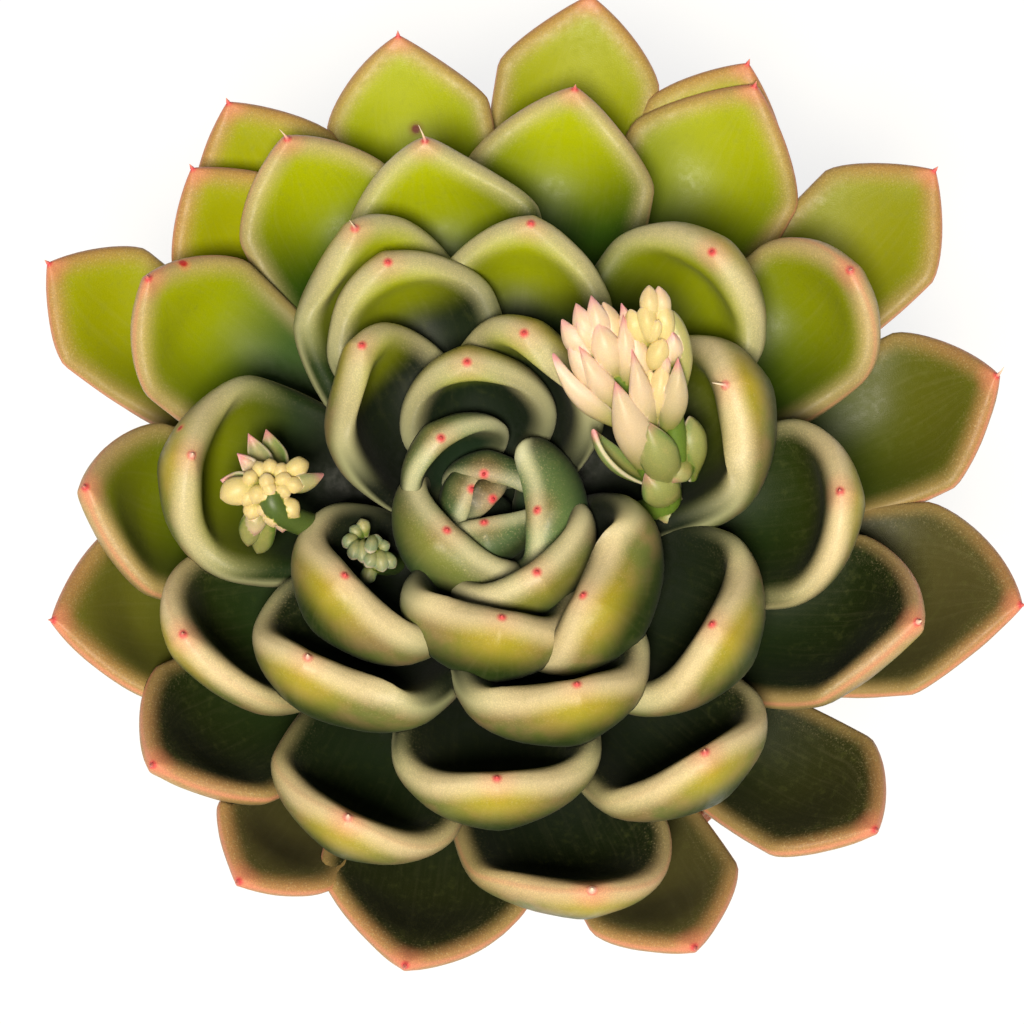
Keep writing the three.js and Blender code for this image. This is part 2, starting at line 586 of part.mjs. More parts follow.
// Every leaf presses against those further in, and its inner side takes their shape
const taken = [grown(stem, GAP)];
LEAVES.forEach((row, index) => {
  const leaf = rosetteLeaf(row, index / (LEAVES.length - 1));
  const cut = taken.reduce((rest, neighbour) => rest.subtract(solid(neighbour)), solid(leaf));
  const look = index < HEART_LEAVES ? HEART_LEAF_LOOK : LEAF_LOOK;
  add(plant, `leaf_${String(index + 1).padStart(2, "0")}`, largestBody(cut), look);
  taken.push(grown(leaf, GAP));
});

// The shoots pass between the leaves
const shoots = [
  ["flower_shoot_large", LARGE_SHOOT, BUD_LOOK],
  ["flower_shoot_small", SMALL_SHOOT, BUD_LOOK],
  ["young_shoot", YOUNG_SHOOT, YOUNG_SHOOT_LOOK],
];
for (const [name, shoot, look] of shoots) {
  const cut = taken.reduce((rest, neighbour) => rest.subtract(solid(neighbour)), shootSolid(shoot));
  add(plant, name, largestBody(cut), look);
}

export default group;
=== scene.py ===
"""A potted rosette succulent with three young shoots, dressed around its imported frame.

The scene is in metres, +Z up, with the origin at the centre of the pot's foot. Lengths below are in
millimetres where no comment says metres, and MM turns them into metres. The viewer stands on the
-Y side.
"""

import math

import bmesh
import bpy
import numpy as np
from mathutils import Euler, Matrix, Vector, noise
from mathutils.bvhtree import BVHTree
from mathutils.kdtree import KDTree


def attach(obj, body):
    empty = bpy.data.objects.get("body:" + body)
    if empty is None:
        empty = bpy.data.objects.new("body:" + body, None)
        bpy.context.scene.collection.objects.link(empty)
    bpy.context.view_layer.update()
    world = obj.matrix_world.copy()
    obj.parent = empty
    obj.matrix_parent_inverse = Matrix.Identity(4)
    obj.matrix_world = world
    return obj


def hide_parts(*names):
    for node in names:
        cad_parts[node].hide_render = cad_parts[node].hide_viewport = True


MM = 0.001
ROOT = "root"

# Pot, soil and stem, as in the frame
POT_HEIGHT = 44
POT_RIM_RADIUS = 35
POT_RIM_HEIGHT = 11
POT_RIM_LEDGE = 4
POT_FOOT_RADIUS = 24
POT_WALL = 3
POT_FLOOR = 4
SOIL_DROP = 3
SOIL_DOME = 1.2
SOIL_SHOULDER = {"radius": 0.6, "height": 0.7}
STEM_RADIUS = 4.4
STEM_DEPTH = 12
GAP = 0.3

# How round the pot's edges are, how far apart the rings of turned pieces lie, and their sides
POT_EDGE = 0.9
LEDGE_EDGE = 0.6
FLOOR_EDGE = 1.5
CORNER_STEPS = 5
RING_STEP = 1.2
POT_SIDES = 144
SOIL_SIDES = 96
STEM_SIDES = 48
# Unevenness: size of the swells, their height, and the height of the turning marks
POT_UNEVEN = (9.0, 0.08, 0.05)
SOIL_UNEVEN = (3.0, 0.25, 0.0)
STEM_UNEVEN = (1.6, 0.14, 0.12)
TURNING_MARK = 1.1
MARK_STRETCH = 0.08
# Grit on the soil: how many grains, the range of their radii, and how deep they sit in it
GRAINS = 450
GRAIN_RADII = (0.28, 0.95)
GRAIN_SHAPE = (0.7, 1.15)
GRAIN_SINK = 0.25
GRAIN_UNEVEN = (0.7, 0.16)
GRAIN_MARGIN = 0.9
# A high power makes most grains small. A grain's kind picks its colour.
GRAIN_POWER = 2.5
GRAIN_KINDS = (0.1, 1)
# How far apart in the noise two pieces lie
NOISE_STRIDE = (3.7, 1.3, 2.1)

# Height of the lowest leaf's foot over the ground, and of the stem's tip over that foot
CROWN_FOOT = 46
CROWN_HEIGHT = 20
STEM_TAPER = [(0.25, 1), (0.65, 0.8), (0.97, 0.5), (1, 0)]
HEART_FOOT = {"radius": 2.2, "height": 21}
OUTER_FOOT = {"radius": 6, "height": 2}
# How soon the feet spread and sink, going outwards
FOOT_POWERS = {"radius": 0.6, "height": 0.75}

# Places in the lists are millimetres right and up of the heart, as seen from this far away and this
# high above the horizon.
VIEW_ELEVATION = math.radians(72)
VIEW_DISTANCE = 300
HEART = np.array([0, 0, 26])
TIP_PASSES = 20
TOWARD = np.array([0, -math.cos(VIEW_ELEVATION), math.sin(VIEW_ELEVATION)])
UPWARD = np.array([0, math.sin(VIEW_ELEVATION), math.cos(VIEW_ELEVATION)])
RIGHTWARD = np.array([1, 0, 0])
HEART_PLACE = Vector((0, 0, CROWN_FOOT + HEART[2])) * MM

# The photograph's frame: its width in pixels, the heart's pixel, and pixels in a millimetre there.
# The nearest that the camera sees is in metres.
FRAME_PIXELS = 1024
HEART_PIXEL = (490, 492)
PIXELS_PER_MM = 10
SENSOR = 36
NEAREST_SEEN = 0.01

# Leaves from the heart outwards: [right, up] of the tip as seen, width, thickness,
# turn of the leaf away from its tip's bearing, and lean of its end above the horizontal (degrees).
LEAVES = [
    (0.3, -0.7, 6.5, 2.8, 160, 116),
    (-0.6, 1.8, 10, 3.6, -20, 112),
    (-1.8, 0.3, 9, 3.4, 0, 110),
    (-0.6, -3.0, 11, 4.2, 20, 112),
    (4.7, -1.8, 15.5, 7.0, 24, 118),
    (-4.9, 5.4, 13.5, 5.0, -4, 100),
    (-4.3, -3.8, 16.5, 6.8, 0, 108),
    (4.7, -8.0, 17, 6.5, 9, 90),
    (-2.3, 13.0, 16.5, 7.4, -8, 95),
    (3.4, 15.9, 18, 7.4, -24, 99),
    (1.2, -12.5, 18.5, 8.4, -14, 114),
    (9.3, -10.3, 20.5, 9.6, 24, 124),
    (-12.8, 14.7, 17.5, 6.8, 24, 88),
    (-14.5, -8.3, 19.5, 8.4, 6, 118),
    (-10.2, 23.0, 19, 7.6, -3, 92),
    (8.7, -19.2, 20.5, 8.4, -9, 114),
    (4.1, 26.9, 19, 7.4, -3, 84),
    (23.5, 10.7, 21, 9.4, -8, 122),
    (-18.2, -16.5, 22, 7.8, 16, 110),
    (22.2, -13.2, 22, 8.8, 3, 118),
    (-13.5, 26.4, 19.5, 7.6, 18, 86),
    (-29.8, 3.7, 22.5, 8.0, -4, 112),
    (0.7, -28.6, 21.5, 8.0, 1, 110),
    (22.2, 24.0, 20.5, 8.6, 0, 108),
    (-6.5, 35.2, 22, 7.0, -10, 72),
    (35.0, 0.1, 20.5, 7.6, 0, 104),
    (21.5, -26.0, 20.5, 7.8, -5, 113),
    (-30.7, -14.2, 20, 7.2, 8, 88),
    (-14.2, -32.5, 20.5, 7.4, -4, 104),
    (8.5, 40.4, 21, 6.6, -3, 68),
    (-20.3, 35.4, 18.5, 6.6, 0, 74),
    (10.2, -39.8, 21.5, 7.0, -12, 94),
    (36.0, 22.2, 19, 7.4, 0, 97),
    (-34.2, 21.4, 18.5, 6.4, 0, 78),
    (-40.5, 0.5, 19.5, 6.4, 6, 74),
    (42.8, -13.0, 20.5, 6.4, -14, 70),
    (-9.2, 45.7, 18.5, 6.0, -8, 52),
    (26.5, 40.7, 21, 6.0, 0, 58),
    (-33.8, -27.3, 19, 6.0, 5, 62),
    (-8.5, -47.4, 22, 5.8, -5, 56),
    (38.6, -33.8, 16.5, 5.8, -7, 54),
    (50.8, 11.7, 19, 6.0, -5, 58),
    (10.0, 49.7, 18.5, 5.6, 4, 46),
    (-26.2, 39.0, 18, 5.6, 0, 50),
    (-44.2, 22.9, 16, 5.6, 2, 48),
    (-43.8, -12.8, 20, 5.6, 0, 48),
    (44.5, 32.2, 17.5, 5.6, 0, 44),
    (53.2, -11.3, 22.5, 5.6, -12, 46),
    (20.5, -45.6, 16.5, 5.4, 0, 54),
    (-25.2, -39.0, 14.5, 5.4, -8, 50),
    (25.8, 42.9, 17, 5.4, 0, 46),
    (-29.8, 32.4, 17, 5.4, 0, 46),
]
TIP_HEIGHTS = [(0, 24), (3, 25), (8, 28), (15, 31), (24, 31), (34, 29), (44, 24), (52, 17), (60, 14)]
CUP_RADII = [(0, 7), (3, 9.5), (8, 13), (15, 15), (25, 17), (40, 22), (60, 28)]
FOOT_RISES = [(0, 72), (0.1, 62), (0.25, 48), (0.45, 32), (0.65, 18), (1, 0)]

# The shoots, as in the frame. Places are [right, up] as seen, and each shoot's heights go with how
# far up they are. A stalk has a radius and runs through its places, the first one from the stem.
# A leaflet is [right, up] of its tip, the tip's height over the shoot's, [right, up] of its foot,
# width, thickness, roll of its outer side away from the viewer in degrees, how pointed it is, and
# how creamy it is.
LARGE_LEAFLETS = [
    (8.6, 18.9, -0.3, 11.2, 13.6, 2.6, 1.3, -25, 0.6, 1),
    (7.2, 17.3, 0, 11, 12.6, 2.7, 1.3, -45, 0.6, 1),
    (10.1, 19.7, -0.2, 11.8, 13.4, 2.6, 1.3, -5, 0.7, 0.95),
    (11.3, 19, -0.9, 12.6, 13.2, 2.4, 1.4, 25, 0.4, 0.9),
    (8.7, 17.6, 0.3, 11, 13.4, 1.6, 1.2, -30, 0.5, 0.95),
    (10.7, 17.1, 0.9, 12.8, 10.8, 3, 1.6, 0, 0.5, 0.85),
    (7.8, 15.3, 0.4, 12.8, 9, 3.1, 1.5, -40, 0.7, 0.85),
    (6.3, 13.9, 0.6, 13.8, 6.2, 2.8, 1.5, -55, 0.9, 0.8),
    (8.9, 14.8, 1.2, 13.4, 7.8, 2.7, 1.5, -20, 0.9, 0.75),
    (12.5, 11.1, 2.6, 16.2, 1.6, 3.9, 1.8, -12, 0.7, 0.6),
    (14.2, 14.3, 1.9, 15.9, 5.2, 2.8, 1.5, 0, 0.9, 0.65),
    (13.3, 17.8, 0.6, 13.9, 9.8, 2.2, 1.3, 0, 0.8, 0.75),
    (13.1, 18.9, -0.5, 14.2, 13, 2.1, 1.2, 20, 0.8, 0.85),
    (13.8, 16.7, 0.3, 15.6, 9.2, 2.7, 1.3, 20, 0.7, 0.9),
    (10.3, 6.3, 1.4, 16.4, 0.8, 3.2, 1.3, -125, 0.7, 0.2),
    (15.9, 20.7, 0.4, 16.2, 16.3, 1.9, 1.5, -10, 0.3, 1),
    (16.8, 20.6, 0.1, 17.1, 16.4, 1.8, 1.4, 25, 0.4, 0.95),
    (14, 18.3, 0.6, 15.9, 14.4, 2, 1.4, -40, 0.2, 0.95),
    (15.5, 18.7, 1.2, 16.1, 14.6, 1.9, 1.5, -5, 0, 0.95),
    (17.4, 18.6, 0.9, 17, 14.2, 1.9, 1.4, 35, 0, 0.9),
    (16.9, 17.2, 1.9, 15.9, 14.9, 1.2, 1.1, 10, 0.2, 0.9),
    (17.4, 15.3, 1.8, 16, 12.2, 2.1, 1.6, 0, 0.2, 0.85),
    (17.9, 16.4, 1.1, 18.3, 12.4, 2.2, 1.3, 25, 0.8, 0.8),
    (18.1, 18.2, -0.3, 19.2, 9.4, 2, 1.2, 45, 0.2, 0.35),
    (18.8, 13.5, 2.2, 17.6, 5.6, 2.8, 1.5, 15, 0.8, 0.5),
    (17.3, 12.7, 1.5, 16.7, 6.8, 2.4, 1.5, -10, 0.3, 0.7),
    (16.1, 12.1, 1.2, 16.6, 6.2, 2.1, 1.4, -30, 0.2, 0.75),
    (17.5, 11.1, 2.1, 17.2, 7.4, 1.5, 1.3, 0, 0.3, 0.7),
    (17.4, 14, 1.9, 17.6, 11.6, 1, 0.9, 0, 0.5, 0.85),
    (15.6, 7.1, 2.4, 18.3, 0.2, 4.2, 1.8, -10, 0.5, 0.15),
    (17.6, 1, 1.6, 20.2, 3.2, 2.7, 1.5, 0, 0.8, 0.25),
    (15.5, 1.9, 1.8, 18.6, -1.2, 4.1, 1.7, -15, 0.5, 0.1),
    (17.5, -3.6, 0.6, 18.3, -0.8, 3.2, 1.5, 0, 0.7, 0.05),
    (19.9, 7.6, -1.2, 20.3, 1.2, 3.2, 1.4, 40, 0.3, 0.05),
]
LARGE_SHOOT = {
    "heights": [(-4, 20.5), (-1.6, 22), (4.5, 28), (17, 36.5), (21, 39)],
    "stem": [(4.9, 0, 9), (10, 0, 14)],
    "stalks": [
        (1.5, [(17, -1.6), (17.2, 1.2)]),
        (1.2, [(17.2, 0.4), (15.3, 3.6), (13.9, 8.2), (11.4, 15)]),
        (1.2, [(17.2, 0.4), (18.6, 3.6), (18, 8.4), (16.6, 16.8)]),
    ],
    "leaflets": LARGE_LEAFLETS,
}
SMALL_LEAFLETS = [
    (-24.2, 5.9, 0.4, -22, 1, 2.6, 1.2, 180, 0.8, 0.3),
    (-22.4, 6.3, -0.6, -21, 0.8, 3, 1.4, 180, 0.7, 0.05),
    (-25.3, 3.9, 0.2, -22.8, 0.8, 2.1, 1.1, 160, 0.8, 0.5),
    (-16.7, 1.9, -0.8, -21, 0.4, 2.1, 1.2, 40, 0.8, 0.3),
    (-27, 1.2, -0.9, -23, 0.8, 2.2, 1.1, 180, 0.6, 0.25),
    (-26.9, -0.6, -0.3, -23.2, 1.2, 2.8, 1.6, 0, 0.1, 1),
    (-23.4, 3, 0.3, -22.4, 1.2, 1.4, 1.2, 0, 0, 0.95),
    (-22, 3.3, 0.5, -21.9, 1.2, 1.5, 1.3, 0, 0, 0.95),
    (-18.2, 2.9, -0.2, -21, 1.8, 1.9, 1.6, 0, 0, 1),
    (-20.6, 2.9, 0.5, -21.4, 1, 1.4, 1.2, 0, 0, 0.9),
    (-18.7, 0.5, 0.2, -20.9, 1, 1.6, 1.4, 0, 0, 0.9),
    (-20, -0.4, 0.9, -21.3, 0.8, 1.4, 1.2, 0, 0, 0.7),
    (-20, -1.5, 0.3, -21.9, -0.2, 1.7, 1.4, 0, 0, 0.75),
    (-22.4, 1.9, 1.6, -22.2, 0.3, 1.5, 1.3, 0, 0, 1),
    (-23.6, -1.2, 1, -22.9, 0.9, 1.7, 1.4, 0, 0.1, 1),
    (-21.7, -0.2, 1.6, -22.4, 1, 1.3, 1.1, 0, 0.1, 0.9),
    (-22.2, -1.1, 1.3, -22.7, 0.4, 1.3, 1.1, 0, 0.1, 0.9),
    (-22.3, -2.5, 0.6, -22.9, -0.6, 1.6, 1.3, 0, 0.3, 0.85),
    (-24.6, -1.4, 0.5, -23.6, 0.7, 1.4, 1.2, 0, 0.1, 1),
    (-25.6, -1.2, 0, -24, 0.9, 1.5, 1.3, 0, 0.1, 1),
    (-24, -2.7, 0.2, -23.4, -0.6, 1.8, 1.3, 0, 0.2, 0.85),
    (-24.6, 1.9, 0.6, -23.2, 0.9, 1.6, 1.3, 0, 0, 1),
    (-19.9, 1.6, 0.9, -21.6, 0.9, 1.4, 1.2, 0, 0, 0.9),
    (-23.5, -4.2, -0.3, -23.3, -1.4, 2.2, 1.2, 0, 0.8, 0.5),
    (-24.1, -5.2, -1.6, -23.6, -1.6, 2.4, 1.3, 0, 0.8, 0.2),
    (-20.7, -3.9, -0.2, -20.9, -0.6, 2.5, 1.4, 0, 0.8, 0.6),
    (-19.2, -2.4, 0.5, -21, -0.6, 2.1, 1.5, 0, 0.2, 0.85),
    (-21.6, -3.5, 1, -22, -0.8, 1.9, 1.4, 0, 0.3, 0.8),
    (-23.1, -5.9, -3, -21.6, -2.2, 2.2, 1.3, 0, 0.7, 0.05),
]
SMALL_SHOOT = {
    "heights": [(-6, 24), (-2.5, 27.5), (0.5, 29.5), (3, 29.5), (6.5, 27)],
    "stem": [(-4.9, -0.5, 8), (-11, -2, 14)],
    "stalks": [(1.3, [(-20.4, -2.4), (-22.2, 0.9)])],
    "leaflets": SMALL_LEAFLETS,
}
YOUNG_LEAFLETS = [
    (-14.7, -5.5, 0.8, -13.3, -4.3, 1.5, 1.1, 0, 0.1, 0),
    (-13.8, -6.8, 1.6, -13.2, -4.8, 1.4, 1.1, 0, 0.1, 0),
    (-12.8, -7.1, 1.6, -12.7, -4.7, 1.3, 1.1, 0, 0.2, 0.2),
    (-12.1, -6.1, 2.2, -11.6, -4.6, 1.3, 1.1, 0, 0.1, 0),
    (-12.4, -7.5, 2, -11.5, -6.2, 1.5, 1.2, 0, 0.1, 0.1),
    (-10.7, -8, 1.6, -11.1, -5.7, 1.6, 1.3, 0, 0.1, 0.2),
    (-9.5, -7.6, 1, -10.8, -5.9, 1.4, 1.2, 0, 0.1, 0),
    (-12.6, -9.2, 0.4, -11.4, -6.8, 1.6, 1.2, 0, 0.1, 0),
    (-11.4, -4.2, 1.6, -11.4, -5.6, 1.4, 1.2, 0, 0.1, 0.1),
    (-14, -3.5, 0.6, -12.6, -4.5, 1.4, 1.1, 0, 0.1, 0),
    (-12.9, -2.7, 0.6, -12.3, -4.5, 1.4, 1.1, 0, 0.1, 0.3),
    (-10, -5.2, 0.8, -11.2, -5.6, 1.3, 1.1, 0, 0.1, 0),
]
YOUNG_SHOOT = {
    "heights": [(-10, 22.5), (-6, 24), (-3, 23.5)],
    "stem": [(-4.9, -2, 12), (-8.5, -4, 15)],
    "stalks": [(1.2, [(-11.4, -7), (-12, -5.4)])],
    "leaflets": YOUNG_LEAFLETS,
}
LEAFLET_RISE = math.radians(72)
LEAFLET_LEAN = math.radians(112)
LEAFLET_CUP = 0.9
LEAFLET_KEEL = 0.1
LEAFLET_STEPS = 26
LEAFLET_SIDES = 24
STALK_STEPS = 40
STALK_SIDES = 20

# A leaf's form, as in the frame: shares of its length, width or thickness
CURVE_POINTS = 201
FOOT_HANDLE = 0.38
TIP_HANDLE = 0.34
CUPPED_TIP_HANDLE = 0.44
# Leans in degrees between which a tip turns from blunt to pointed, and from plain to cupped
POINTED_LEANS = (100, 62)
CUPPED_LEANS = (90, 125)
SWELL_END = 0.5
SWELL_POWER = 9
LEAST_WIDEST = 0.5
OUTER_SHARE = 0.68
INNER_SHARE = 0.42
HOLLOW = 0.52
HOLLOW_POWER = 1.5
HOLLOW_START = (0.05, 0.4)
HOLLOW_END = (0.74, 0.96)
TIP_FILL = 0.85
KEEL = 0.3
KEEL_WIDTH = 0.22
KEEL_START = (0.45, 0.85)
KEEL_POWER = 8
OUTER_THINNING = 0.42
INNER_THINNING = 0.1
THINNING_START = 0.62
OUTER_SECTION = 1.15
INNER_SECTION = 0.8
FOOT_THICKNESS = 0.28
OPENING_POWER = 1.25
BLUNT_TIP = {"power": 1.9, "root": 0.66, "foot": 0.26}
POINTED_TIP = {"power": 1.4, "root": 0.93}
BRACT_TIP = {"power": 1.35, "root": 1.1, "widest": 0.42, "foot": 0.6}
CROWDING = 1.6
LEAF_STEPS = 50
LEAF_SIDES = 48
# Size and height of a leaf's swells, how far from its margin they start, and its core's radius
LEAF_UNEVEN = (4.0, 0.16)
EVEN_MARGIN = 0.9
LEAF_CORE = 0.4
# The hard point at a leaf's tip, and its outline: share of its length, share of its radius
POINT_SHAPE = [(0.05, 1.0), (0.2, 0.8), (0.4, 0.6), (0.6, 0.42), (0.8, 0.28), (0.93, 0.16)]
POINT_BEND_POWER = 1.5
POINT_DRY_POWER = 0.5
# A point's length and radius, how far its end bends right and up as seen, and how dry it is
INNER_POINT = (0.3, 0.2, 0, 0, 0)
OUTER_POINT = (0.55, 0.22, 0, 0, 0.2)
OUTER_POINTS_FROM = 25
POINTS = {
    18: (0.5, 0.2, -1.1, 0.15, 1),
    19: (0.35, 0.3, -0.1, 0.1, 0.8),
    21: (0.9, 0.18, -0.5, 0.4, 0.7),
    22: (0.35, 0.34, 0, 0.1, 0.7),
    25: (0.9, 0.17, -0.7, 1.0, 0.9),
    29: (0.35, 0.32, 0, 0.1, 0.8),
    31: (0.7, 0.18, -0.7, 0.5, 0.8),
    32: (0.35, 0.4, 0, 0.1, 1),
    33: (0.6, 0.2, 0.2, -0.1, 0.5),
    36: (0.4, 0.3, 0.2, 0.1, 0.9),
    42: (0.7, 0.2, 0.2, 0.6, 0.9),
}
# Spots on leaves: leaf, [right, up] as seen, radius, and whether it is brown or red
MARKS = [
    (37, -7.4, 36.3, 0.45, "brown"),
    (34, -30.7, 22.9, 0.45, "red"),
    (22, -31.0, 6.4, 0.3, "red"),
    (50, -27.0, -36.0, 0.35, "red"),
]
# The colour around a spot, and the spot's own
MARK_COLOURS = {"brown": ("7a5a14", "6a2a10"), "red": ("d98a5a", "b8322c")}
MARK_HALO = 1.8
MARK_SOFTNESS = (0.6, 1.5)
# How far a leaf keeps from one that presses into it, in metres
PRESS_GAP = 0.00006
# Edges sharper than this are left by a cut
CUT_ANGLE = math.radians(50)
# A cut piece's point takes its values from so many points of the whole one
NEIGHBOURS = 3
TINY = 1e-7

# Leaves facing this bearing are painted yellowest, as light, and those across from them the deepest green, as
# shade
PAINTED_LIGHT_BEARING = math.radians(105)
# How deep light scatters in a shoot, in metres, and the share of it for red, green and blue
INSIDE_DEPTH = 0.0012
INSIDE_SPREAD = (1.0, 0.8, 0.2)
BLOOM_ROUGHNESS = 0.5

# The lights. Azimuth 0 is the viewer's side and 90 is to the right, and sizes are metres.
KEY = {"azimuth": -8, "elevation": 62, "distance": 2, "size": 0.6, "power": 60, "colour": "fff5e6"}
FILL = {"azimuth": 0, "elevation": 85, "distance": 2, "size": 1.2, "power": 1.6, "colour": "f4f6ff"}
SKY_LIGHT = 0.022
SKY_SEEN = 0.9
FLOOR_GLOW = 0.82
FLOOR_COLOUR = "7a7a76"
SKY_COLOUR = "f6f8ff"
FLOOR_HALF = 3


def table(rows, x):
    return float(np.interp(x, [row[0] for row in rows], [row[1] for row in rows]))


def ease(low, high, x):
    t = np.clip((np.asarray(x, float) - low) / (high - low), 0, 1)
    return t * t * (3 - 2 * t)


def lerp(a, b, t):
    return a + (b - a) * t


def around(count):
    """Angles round a circle."""
    return np.linspace(0, 2 * math.pi, count, endpoint=False)


def stations(steps):
    """Shares of a blade's length, closer together towards its tip."""
    return 1 - (1 - np.linspace(0, 1, steps + 1)) ** CROWDING


def heading(azimuth, elevation):
    flat = math.cos(elevation)
    return np.array([math.cos(azimuth) * flat, math.sin(azimuth) * flat, math.sin(elevation)])


def swung(a, b, angle):
    """a turned towards b, at a right angle to it, by an angle."""
    return a * np.cos(angle) + b * np.sin(angle)


def unit(vectors):
    return vectors / np.linalg.norm(vectors, axis=-1, keepdims=True)


def seen_at(right, up, height):
    """The point at a height over the crown's foot that the viewer sees at [right, up] of the heart."""
    eye = HEART + TOWARD * VIEW_DISTANCE
    ray = RIGHTWARD * right + UPWARD * up - TOWARD * VIEW_DISTANCE
    return eye + ray * (height - eye[2]) / ray[2]


def leaf_tip(right, up):
    tip = seen_at(right, up, HEART[2])
    for _ in range(TIP_PASSES):
        tip = seen_at(right, up, table(TIP_HEIGHTS, math.hypot(tip[0], tip[1])))
    return tip


def midrib(foot, tip, foot_direction, tip_direction, tip_handle, shares):
    """Points and directions along a cubic curve, at shares of its length, and that length."""
    reach = np.linalg.norm(tip - foot)
    knots = [foot, foot + foot_direction * reach * FOOT_HANDLE, tip - tip_direction * reach * tip_handle, tip]
    t = np.linspace(0, 1, CURVE_POINTS)[:, None]
    weights = ((1 - t) ** 3, 3 * (1 - t) ** 2 * t, 3 * (1 - t) * t**2, t**3)
    curve = sum(weight * knot for weight, knot in zip(weights, knots))
    travelled = np.concatenate([[0], np.cumsum(np.linalg.norm(np.diff(curve, axis=0), axis=1))])
    slopes = np.gradient(curve, travelled, axis=0)
    at = shares * travelled[-1]
    points = np.stack([np.interp(at, travelled, curve[:, i]) for i in range(3)], -1)
    forward = np.stack([np.interp(at, travelled, slopes[:, i]) for i in range(3)], -1)
    return points, unit(forward), travelled[-1]


def blade(points, forward, sideways, half_width, outer, inner, hollow, keel, cup, sides):
    """A thick blade's surface as rings of points from foot to tip, with each point's place across."""
    sideways = unit(sideways - (forward * sideways).sum(-1, keepdims=True) * forward)
    inward = np.cross(forward, sideways)
    angle = around(sides)
    cosine, sine = np.cos(angle), np.sin(angle)
    on_inner = sine > TINY
    power = np.where(on_inner, INNER_SECTION, OUTER_SECTION)
    across = np.sign(cosine) * np.abs(cosine) ** power
    depth = np.abs(sine) ** power
    middle = np.maximum(0, 1 - across**2) ** HOLLOW_POWER
    dip = hollow[:, None] * (outer + inner)[:, None] * middle
    ridge = keel[:, None] * np.exp(-((across / KEEL_WIDTH) ** 2))
    out = np.where(on_inner, depth * inner[:, None] - dip, -depth * outer[:, None] - ridge)
    bend = across * half_width[:, None] / cup
    rings = points[:, None] + ((cup - out) * np.sin(bend))[..., None] * sideways[:, None]
    rings += (cup - (cup - out) * np.cos(bend))[..., None] * inward[:, None]
    return rings, across, sine


def outline(u, widest, foot, power, root):
    """Share of the greatest half width along a blade."""
    opened = np.sin(math.pi / 2 * np.clip(u / widest, 0, 1)) ** OPENING_POWER
    s = np.clip((u - widest) / (1 - widest), 0, 1)
    return np.where(u < widest, foot + (1 - foot) * opened, (1 - s**power) ** root)


def new_object(name, data):
    made = bpy.data.objects.new(name, data)
    bpy.context.scene.collection.objects.link(made)
    return made


class Skin:
    """Vertices, faces and point values of one piece, gathered from several closed shells."""

    def __init__(self, *values):
        self.values = {name: [] for name in values}
        self.points = []
        self.faces = []
        self.count = 0

    def add(self, points, faces, **values):
        points = np.asarray(points, float)
        self.points.append(points)
        self.faces += [tuple(i + self.count for i in face) for face in faces]
        self.count += len(points)
        for name, gathered in self.values.items():
            gathered.append(np.broadcast_to(np.asarray(values.get(name, 0), float), (len(points),)))

    def object(self, name, material, lift=0.0):
        """The piece as an object, with its millimetre points raised by lift and turned into metres."""
        points = (np.concatenate(self.points) + [0, 0, lift]) * MM
        mesh = bpy.data.meshes.new(name)
        mesh.from_pydata(points.tolist(), [], self.faces)
        for key, gathered in self.values.items():
            mesh.attributes.new(key, "FLOAT", "POINT").data.foreach_set("value", np.concatenate(gathered))
        mesh.polygons.foreach_set("use_smooth", [True] * len(mesh.polygons))
        mesh.materials.append(material)
        mesh.validate()
        return new_object(name, mesh)


def ring_faces(rings, sides):
    """Quads between rings of points, then fans to a foot point and a tip point after them."""
    faces = []
    for i in range(rings - 1):
        for j in range(sides):
            a, b = i * sides + j, i * sides + (j + 1) % sides
            faces.append((a, b, b + sides, a + sides))
    foot, tip, last = rings * sides, rings * sides + 1, (rings - 1) * sides
    for j in range(sides):
        faces.append(((j + 1) % sides, j, foot))
        faces.append((last + j, last + (j + 1) % sides, tip))
    return faces


def nearest(points, line):
    """Distance from each point to the nearest of a line's points."""
    return np.min(np.linalg.norm(points[:, None] - line[None], axis=-1), axis=1)


def undulate(points, seed, size, height):
    """Slow unevenness over a surface, as offsets along a direction out of the middle."""
    offset = Vector([seed * stride for stride in NOISE_STRIDE])
    return np.array([noise.noise(Vector(p) / size + offset) for p in points]) * height


def blade_rings(curve, u, sideways, width, thickness, tip, pointed, cup, keel, sides):
    """A leaf's or leaflet's rings but the last, its margins' points, places across and sides."""
    points, forward, length = curve
    blunt = {**BLUNT_TIP, "widest": max(LEAST_WIDEST, 1 - width / length / 2)}
    shape = {key: lerp(value, tip.get(key, value), pointed) for key, value in blunt.items()}
    half = width / 2 * outline(u, **shape)
    swell = FOOT_THICKNESS + (1 - FOOT_THICKNESS) * ease(0, SWELL_END, u)
    swell = thickness * swell * np.sqrt(1 - u**SWELL_POWER)
    thinning = ease(THINNING_START, 1, u)
    outer = swell * OUTER_SHARE * (1 - OUTER_THINNING * thinning)
    inner = swell * INNER_SHARE * (1 - INNER_THINNING * thinning)
    hollow = HOLLOW * ease(*HOLLOW_START, u) * (1 - TIP_FILL * ease(*HOLLOW_END, u))
    ridge = keel * ease(*KEEL_START, u) * np.sqrt(1 - u**KEEL_POWER)
    rings, across, sine = blade(points, forward, sideways, half, outer, inner, hollow, ridge, cup, sides)
    return rings[:-1], np.concatenate([rings[:, 0], rings[:, sides // 2]]), across, sine


